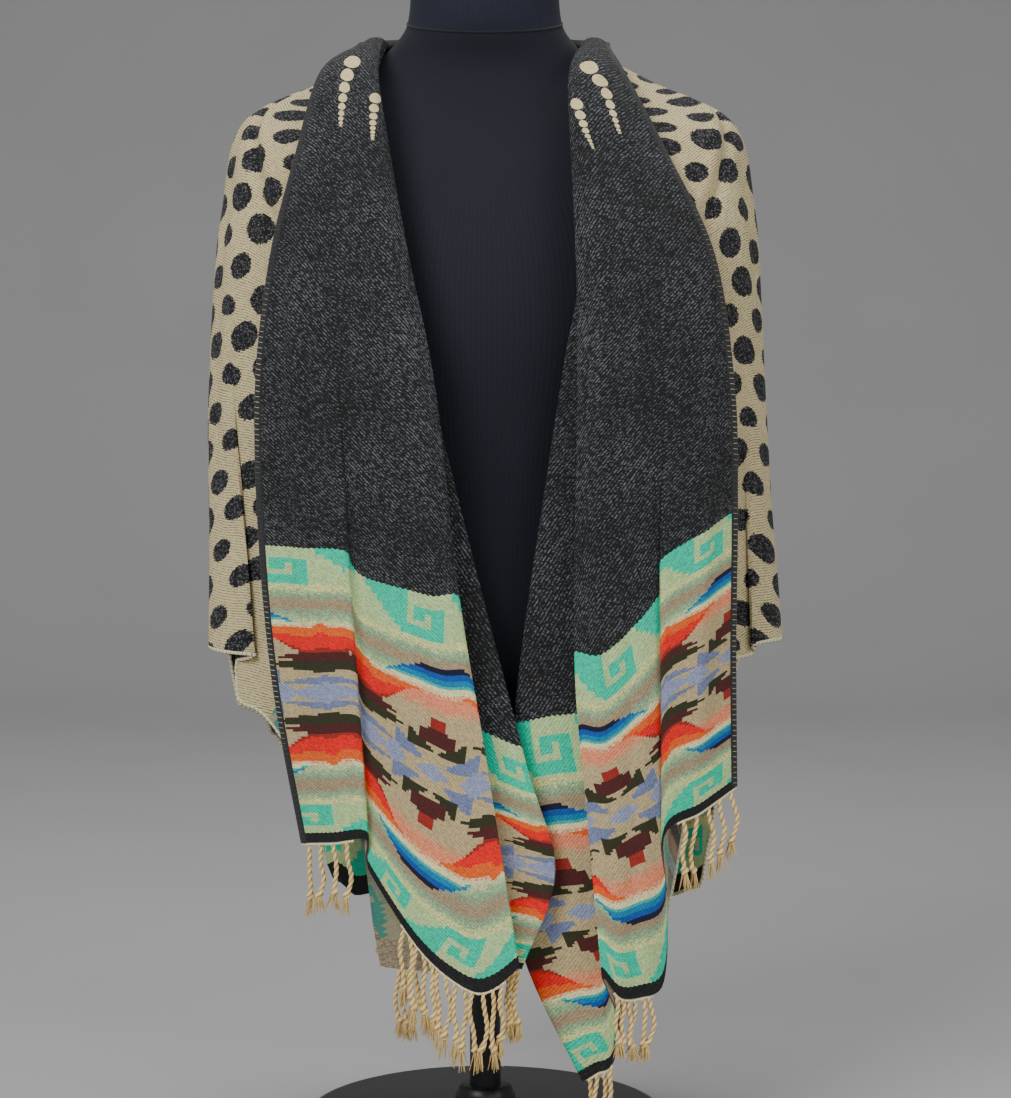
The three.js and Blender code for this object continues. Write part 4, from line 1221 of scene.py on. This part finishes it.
@dataclass
class Trim:
    """Overlocked edges, hem lines and fringe."""

    weave: Weave
    stitch: float = 4.1  # from one stitch to the next
    squareness: float = 2.6  # of a binding's section: 2 is an ellipse
    proud: float = 0.15  # how far a stitch's middle lies off the binding
    sunk: float = 0.6  # how far a fringe hangs below the middle of the cloth's hem
    lowest: float = 5.0  # no cord reaches lower
    seed: int = 7

    def overlock(self, name: str, edge: np.ndarray, inner: np.ndarray) -> Piece:
        """A wide black overlocked edge with fine stitches, as binding describes it."""
        finish = [self.weave.binding, self.weave.tick]
        return self.binding(edge, inner, 2.4, (3.5, 1.9), 0.24).object(name, finish)

    def selvedge(self, name: str, edge: np.ndarray, inner: np.ndarray) -> Piece:
        """A thin cream edge with fine dark stitches, as binding describes it."""
        finish = [self.weave.header, self.weave.binding]
        return self.binding(edge, inner, 0.5, (1.5, 1.35), 0.2).object(name, finish)

    def binding(
        self, edge: np.ndarray, inner: np.ndarray, inset: float, half: tuple[float, float], thread: float
    ) -> Build:
        """A flat oval carried along the cloth's edge, with stitches over it.

        Args:
            edge: Points along the edge.
            inner: Points beside them, a little way into the cloth.
            inset: How far the oval's middle lies in from the edge.
            half: The oval's half-width and half-height.
            thread: The radius of a stitch.

        Returns:
            The band and its stitches.
        """
        walked = run_lengths(edge[None], 1)[0]
        even = np.linspace(0, walked[-1], max(12, int(walked[-1] / 3.2)))
        edge, inner = along_run(edge, walked, even), along_run(inner, walked, even)
        along = unit(np.gradient(edge, axis=0))
        inward = inner - edge
        inward = unit(inward - along * np.sum(inward * along, axis=-1, keepdims=True))
        normal = unit(np.cross(along, inward))
        centre = edge + inward * inset
        angle = np.arange(16) * 2 * np.pi / 16
        wide, high = np.abs(np.cos(angle) / half[0]), np.abs(np.sin(angle) / half[1])
        radius = (wide**self.squareness + high**self.squareness) ** (-1 / self.squareness)
        radii = np.broadcast_to(radius, (1, len(even), len(angle)))
        band = tubes(centre[None], -inward[None], -normal[None], radii)
        at = (np.arange(int(walked[-1] / self.stitch)) + 0.5) * self.stitch
        c, n, i, a = (along_run(field, even, at)[:, None] for field in (centre, normal, inward, along))
        sweep = np.radians(np.linspace(-118, 118, 7))[None, :, None]
        path = c - i * np.cos(sweep) * (half[0] + self.proud) + n * np.sin(sweep) * (half[1] + self.proud)
        path = path + a * sweep * 0.45
        radii = np.full(path.shape[:2] + (4,), thread)
        loops = tubes(path, unit(path - c), np.broadcast_to(a, path.shape), radii)
        return joined([band, loops])

    def fringe(self, name: str, hem: np.ndarray, strands: int, length: float) -> Piece:
        """A hem line and its knotted cords: two plies twisted round a wavy centre line, a knot, a brush.

        Args:
            name: The piece's name.
            hem: Points along the stretch of hem.
            strands: How many cords.
            length: The usual length of a cord.

        Returns:
            The piece.
        """
        rng = np.random.default_rng(self.seed + len(name) * 13 + strands)
        hem = hem - (0, 0, self.sunk)
        walked = run_lengths(hem[None], 1)[0]
        roots = along_run(hem, walked, (np.arange(strands) + 0.5) / strands * walked[-1]) - (0, 0, 1.0)
        long = np.minimum(length * rng.uniform(0.93, 1.07, strands), roots[:, 2] - self.lowest)
        line = self._hem_line(along_run(hem, walked, np.linspace(0, walked[-1], 60)))
        finish = [self.weave.header, self.weave.cord]
        return joined([line, self._cords(roots, long, rng)]).object(name, finish)

    @staticmethod
    def _hem_line(run: np.ndarray) -> Build:
        """The last cream wefts: a thin cord along the hem."""
        centre = (run - (0, 0, 0.9))[None]
        along = unit(np.gradient(centre, axis=1))
        side = unit(np.cross(along, steady(0, 0, 1, along.shape)))
        ripple = 1.0 + 0.25 * np.sin(np.arange(centre.shape[1]) * 2.1)
        return tubes(centre, side, unit(np.cross(along, side)), np.repeat(ripple[None, :, None], 8, axis=2))

    @staticmethod
    def _cords(roots: np.ndarray, long: np.ndarray, rng: np.random.Generator) -> Build:
        """Cords: a ring's radius is a share of the cord's thickness plus a lobe for each ply, which turns
        with the length; the knot is a bell on it, and the brush is twelve tapered threads below."""
        count, rings, sides = len(roots), 60, 12
        share = np.linspace(0, 1, rings)
        sway = rng.uniform(-1, 1, (count, 2))
        body = long * 0.74  # the twisted part
        knot = 0.93  # the share of it at which the knot sits
        lay = 11.0  # the length in which a ply turns once
        bow = np.sin(share * np.pi)
        waves = rng.uniform(3, 7, (count, 1))
        wave = bow * np.sin(share * waves + rng.uniform(0, 6, (count, 1)))
        bend = bow[:, None] * sway[:, None, :] * (3.4, 1.6) + wave[..., None] * (2.0, 0.9)
        drift = share[:, None] ** 2 * rng.uniform(-2.6, 2.6, (count, 1, 2))
        fallen = (share * body[:, None])[..., None]
        centres = roots[:, None, :] + np.concatenate([bend + drift, -fallen], axis=-1)
        thick = 1.45 + 0.35 * np.minimum(share * 8, 1) + 1.55 * np.exp(-(((share - knot) / 0.05) ** 2))
        angle = np.arange(sides) * 2 * np.pi / sides
        twist = fallen * (2 * np.pi / lay) + rng.uniform(0, 6, (count, 1, 1))
        lobe = np.abs(np.cos(angle - twist))
        across, behind = (1, 0, 0), (0, -1, 0)
        first, second = steady(*across, centres.shape), steady(*behind, centres.shape)
        rope = tubes(centres, first, second, thick[:, None] * (0.66 + 0.42 * lobe))
        # each ring's ply lobe goes into the map "around", where the cord material paints shade in the grooves
        # between the plies
        tone = np.concatenate([lobe.reshape(count, -1), np.full((count, 2), 0.6)], axis=1).reshape(-1)
        rope.maps["around"][:, 0] = tone
        threads, bits = 12, 5
        fall = np.linspace(0, 1, bits)[:, None]
        lean = rng.normal(0, 1, (count, threads, 1, 2)) * (2.8, 2.2)
        drop = (long * 0.27)[:, None, None, None] * rng.uniform(0.72, 1.0, (count, threads, 1, 1))
        spread = np.concatenate([lean * (0.25 + 0.75 * fall), -drop * fall + 1.5], axis=-1)
        tips = (centres[:, None, -1:, :] + spread).reshape(count * threads, bits, 3)
        taper = np.broadcast_to(np.linspace(0.8, 0.22, bits)[:, None], (count * threads, bits, 5))
        brush = tubes(tips, steady(*across, tips.shape), steady(*behind, tips.shape), taper)
        return joined([rope, brush])


@dataclass
class Poncho:
    """The cloth: body wall, two fronts and neck roll, with their trim."""

    weave: Weave
    trim: Trim
    across: int = 7  # samples between two lines of a front
    along: int = 12  # samples between two levels
    around: int = 110  # samples of half the body wall

    def build(self) -> None:
        self.levels = np.linspace(0, LAST, LAST * self.along + 1)
        self.places = np.linspace(0, len(LINES) - 1, (len(LINES) - 1) * self.across + 1)
        for side in Side:
            self._front(side)
        self._body()
        self._neck_roll()

    def _front_maps(self, grid: np.ndarray, side: Side) -> dict[str, np.ndarray]:
        """Maps of a front: metres across and down, border place, and place along the chains of cream dots.

        The border is measured from a figure's column on flap, panel and strip, towards the viewer's right,
        and the three are blended inside the tuck and the fold.
        """
        across = run_lengths(grid, 0) * MM
        down = run_lengths(grid, 1) * MM
        start = down[:, [np.searchsorted(self.levels, 5)]]
        above = (down - start) / (HALF_BORDER * MM)
        lower = np.interp(self.levels, [5, 6, 7], [0, 1, 2 + HEM_BAND])[None, :]
        place = np.where(self.levels[None, :] < 5, above, lower)
        turn = np.clip(np.interp(self.levels, [4, 5, 6, 7], [-1, 0, 1, 2.1]), -0.2, 2.2) - 1
        half = Border().repeat / 2
        runs = [
            half * halves - side.value * close * (across - at_column(across, self.places, line + drift * turn))
            for line, drift, halves, close in COLUMNS[side]
        ]
        tuck = np.clip((self.places - 2) / 2, 0, 1)[:, None]
        fold = np.clip((self.places - 7.2) / 1.2, 0, 1)[:, None]
        along = runs[0] + (runs[1] - runs[0]) * tuck + (runs[2] - runs[1]) * fold
        (first, top), (last, end) = CHAINS[side]
        lines = np.interp(self.levels, [top, end], [first, last])
        aside = across - at_column(across, self.places, lines)
        reach = down - at_column(down.T, self.levels, np.full(len(down), top))[:, None]
        return cloth_maps(across, down, along, place, reach, aside)

    def _front(self, side: Side) -> None:
        """One turned-back front, with its overlocked edge and fringes."""
        name = side.name.lower()
        grid = front_grid(side, self.places, self.levels)
        worn = creased(grid, self.places, self.levels, CREASES[side], side.value)
        maps = self._front_maps(worn, side)
        piece = shell(worn, side.value, maps).object(f"{name}_front_cloth", self.weave.cloth)
        settle(piece, "cloth_charcoal", f"{name}_front")
        edge = self.trim.overlock(f"{name}_front_overlock", worn[0], worn[2])
        settle(edge, "cloth_charcoal")
        trims = [edge, *self._front_fringes(side, worn)]

    def _front_fringes(self, side: Side, worn: np.ndarray) -> list[Piece]:
        """The fringes of a front's outer part, middle and strip, each on its stretch of the worn hem."""
        made = []
        for node, start, end, strands, length in FRINGES[side]:
            chosen = (self.places >= start - 1e-6) & (self.places <= end + 1e-6)
            piece = self.trim.fringe(node + "_cords", worn[chosen, -1], strands, length)
            made.append(settle(piece, "fringe", node))
        return made

    def _body(self) -> None:
        """The body wall, overlocked along its side hems, with the fringes of its lower edges."""
        turns = np.linspace(0, 1, self.around + 1)
        halves = {side: self._half_wall(side, turns) for side in Side}
        places = {side: self._body_place(side, turns, half) for side, half in halves.items()}
        grid, place = whole(halves), whole(places)
        across, down = run_lengths(grid, 0), run_lengths(grid, 1) * MM
        across = (across - across[self.around]) * MM
        maps = cloth_maps(across, down, across, place)
        piece = shell(grid, -1, maps).object("back_and_sides_cloth", self.weave.cloth)
        settle(piece, "cloth_beige", "back_and_sides")
        for side, half in halves.items():
            laid = hem_angles(side, turns)
            chosen = (laid >= 24) & (laid <= 144)  # where the hem is the cloth's side edge
            edge = self.trim.selvedge(f"{side.name.lower()}_side_edge", half[chosen, -1], half[chosen, -3])
            settle(edge, "cloth_beige")
        under = halves[Side.RIGHT][turns < 0.045, -1]
        short = self.trim.fringe("right_under_fringe_cords", under, 4, 54)
        settle(short, "fringe", "right_under_fringe")
        starts = {Side.RIGHT: 0.87, Side.LEFT: 0.76}
        back = whole({side: half[turns > starts[side], -1] for side, half in halves.items()})
        long = self.trim.fringe("back_fringe_cords", back, 22, 58)
        settle(long, "fringe", "back_fringe")

    def _half_wall(self, side: Side, turns: np.ndarray) -> np.ndarray:
        """Half the body wall, with its creases."""
        grid = body_grid(side, turns, self.levels)
        return creased(grid, turns, self.levels, BODY_CREASES[side], -side.value)

    @staticmethod
    def _body_place(side: Side, turns: np.ndarray, half: np.ndarray) -> np.ndarray:
        """The border's place on the body wall: even bands above the lower hems in front and behind, which
        drop away towards the sides, where the side edges cut them off."""
        laid = hem_angles(side, turns)
        shares = [np.clip((none - laid) / (none - full), 0, 1) for full, none in DIVES[side]]
        share = np.maximum(*shares)
        drop = BORDER_DROP * (1 - share**2 * (3 - 2 * share))
        low = np.minimum(half[:, -1, 2], np.where(laid < 90, FRONT_HEM, BACK_HEM)) - drop
        return 2 + HEM_BAND - (half[..., 2] - low[:, None]) / HALF_BORDER

    def _neck_roll(self) -> None:
        """The roll from one shoulder round the back to the other: the neck section carried round."""
        turns = np.linspace(0, 1, 41)
        runs = {side: smooth_run(neck_points(side, turns), self.places) for side in Side}
        grid = whole(runs, 1)
        across, down = run_lengths(grid, 0) * MM, run_lengths(grid, 1) * MM
        maps = cloth_maps(across, down, across, -3.0)
        piece = shell(grid, 1, maps).object("neck_roll_cloth", self.weave.cloth)
        settle(piece, "cloth_charcoal", "neck_roll")
        edge = self.trim.overlock("neck_roll_overlock", grid[0], grid[2])
        settle(edge, "cloth_charcoal")


@dataclass
class Studio:
    """Floor, lights and camera."""

    camera_at: tuple[float, float, float] = (0.0164, -2.1946, 0.6235)
    pitch: float = 4.0
    focal: float = 2750.0  # in pixels of the photograph
    frame_height: int = 1098

    def build(self) -> None:
        """Builds the floor, the lights and the camera."""
        self._floor()
        for name, (at, size, power) in SOFTBOXES.items():
            self._light(name, at, size, power)
        world = bpy.data.worlds.new("soft_studio")
        world.use_nodes = True
        world.node_tree.nodes["Background"].inputs[0].default_value = (0.94, 0.93, 0.91, 1)
        world.node_tree.nodes["Background"].inputs[1].default_value = 0.38
        bpy.context.scene.world = world
        self._camera()

    @staticmethod
    def _floor() -> None:
        """A pale sheet of floor that curves up behind: flat, a quarter round, then upright."""
        reach, start, bend = 6000, 2600, 1400
        turn = np.linspace(0, np.pi / 2, 24)
        y = np.concatenate([[-reach, -1500, 1400], start + bend * np.sin(turn), [start + bend]])
        z = np.concatenate([[0, 0, 0], bend - bend * np.cos(turn), [reach]])
        x = np.linspace(-reach, reach, 9)
        grid = np.stack(np.broadcast_arrays(x[:, None], y[None], z[None]), axis=-1).astype(float)
        shade = Shade("studio_floor", 0.75)
        shade.dress(shade.mix(shade.grain(3), ink("A3A4A4"), ink("ABACAC")))
        faces = grid_faces(len(x), len(y))
        build = Build(grid.reshape(-1, 3), [faces], [np.zeros(len(faces), int)], {})
        build.object("studio_floor", [shade.material])

    @staticmethod
    def _light(name: str, at: tuple[float, float, float], size: float, power: float) -> None:
        """A square area light that faces the middle of the object."""
        data = bpy.data.lights.new(name, "AREA")
        data.size = size
        data.energy = power
        lamp = bpy.data.objects.new(name, data)
        bpy.context.scene.collection.objects.link(lamp)
        aim = np.array([0, 0, 0.5]) - np.array(at)
        yaw = math.atan2(aim[1], aim[0])
        tip = math.atan2(aim[2], math.hypot(aim[0], aim[1]))
        lamp.location = at
        lamp.rotation_euler = (math.pi / 2 + tip, 0, yaw - math.pi / 2)

    def _camera(self) -> None:
        """The photograph's viewpoint, a little above the middle and looking slightly down."""
        data = bpy.data.cameras.new("camera")
        data.sensor_fit = "VERTICAL"
        data.angle = 2 * math.atan(self.frame_height / 2 / self.focal)
        data.clip_end = 40
        camera = bpy.data.objects.new("camera", data)
        camera.location = self.camera_at
        camera.rotation_euler = (math.radians(90 - self.pitch), 0, 0)
        bpy.context.scene.collection.objects.link(camera)
        bpy.context.scene.camera = camera


def main() -> None:
    """Builds the studio, the form and the poncho."""
    logging.basicConfig(level=logging.INFO, format="%(name)s: %(message)s")
    Studio().build()
    DressForm(Hardware()).build()
    weave = Weave()
    Poncho(weave, Trim(weave)).build()


if __name__ == "__main__":
    main()
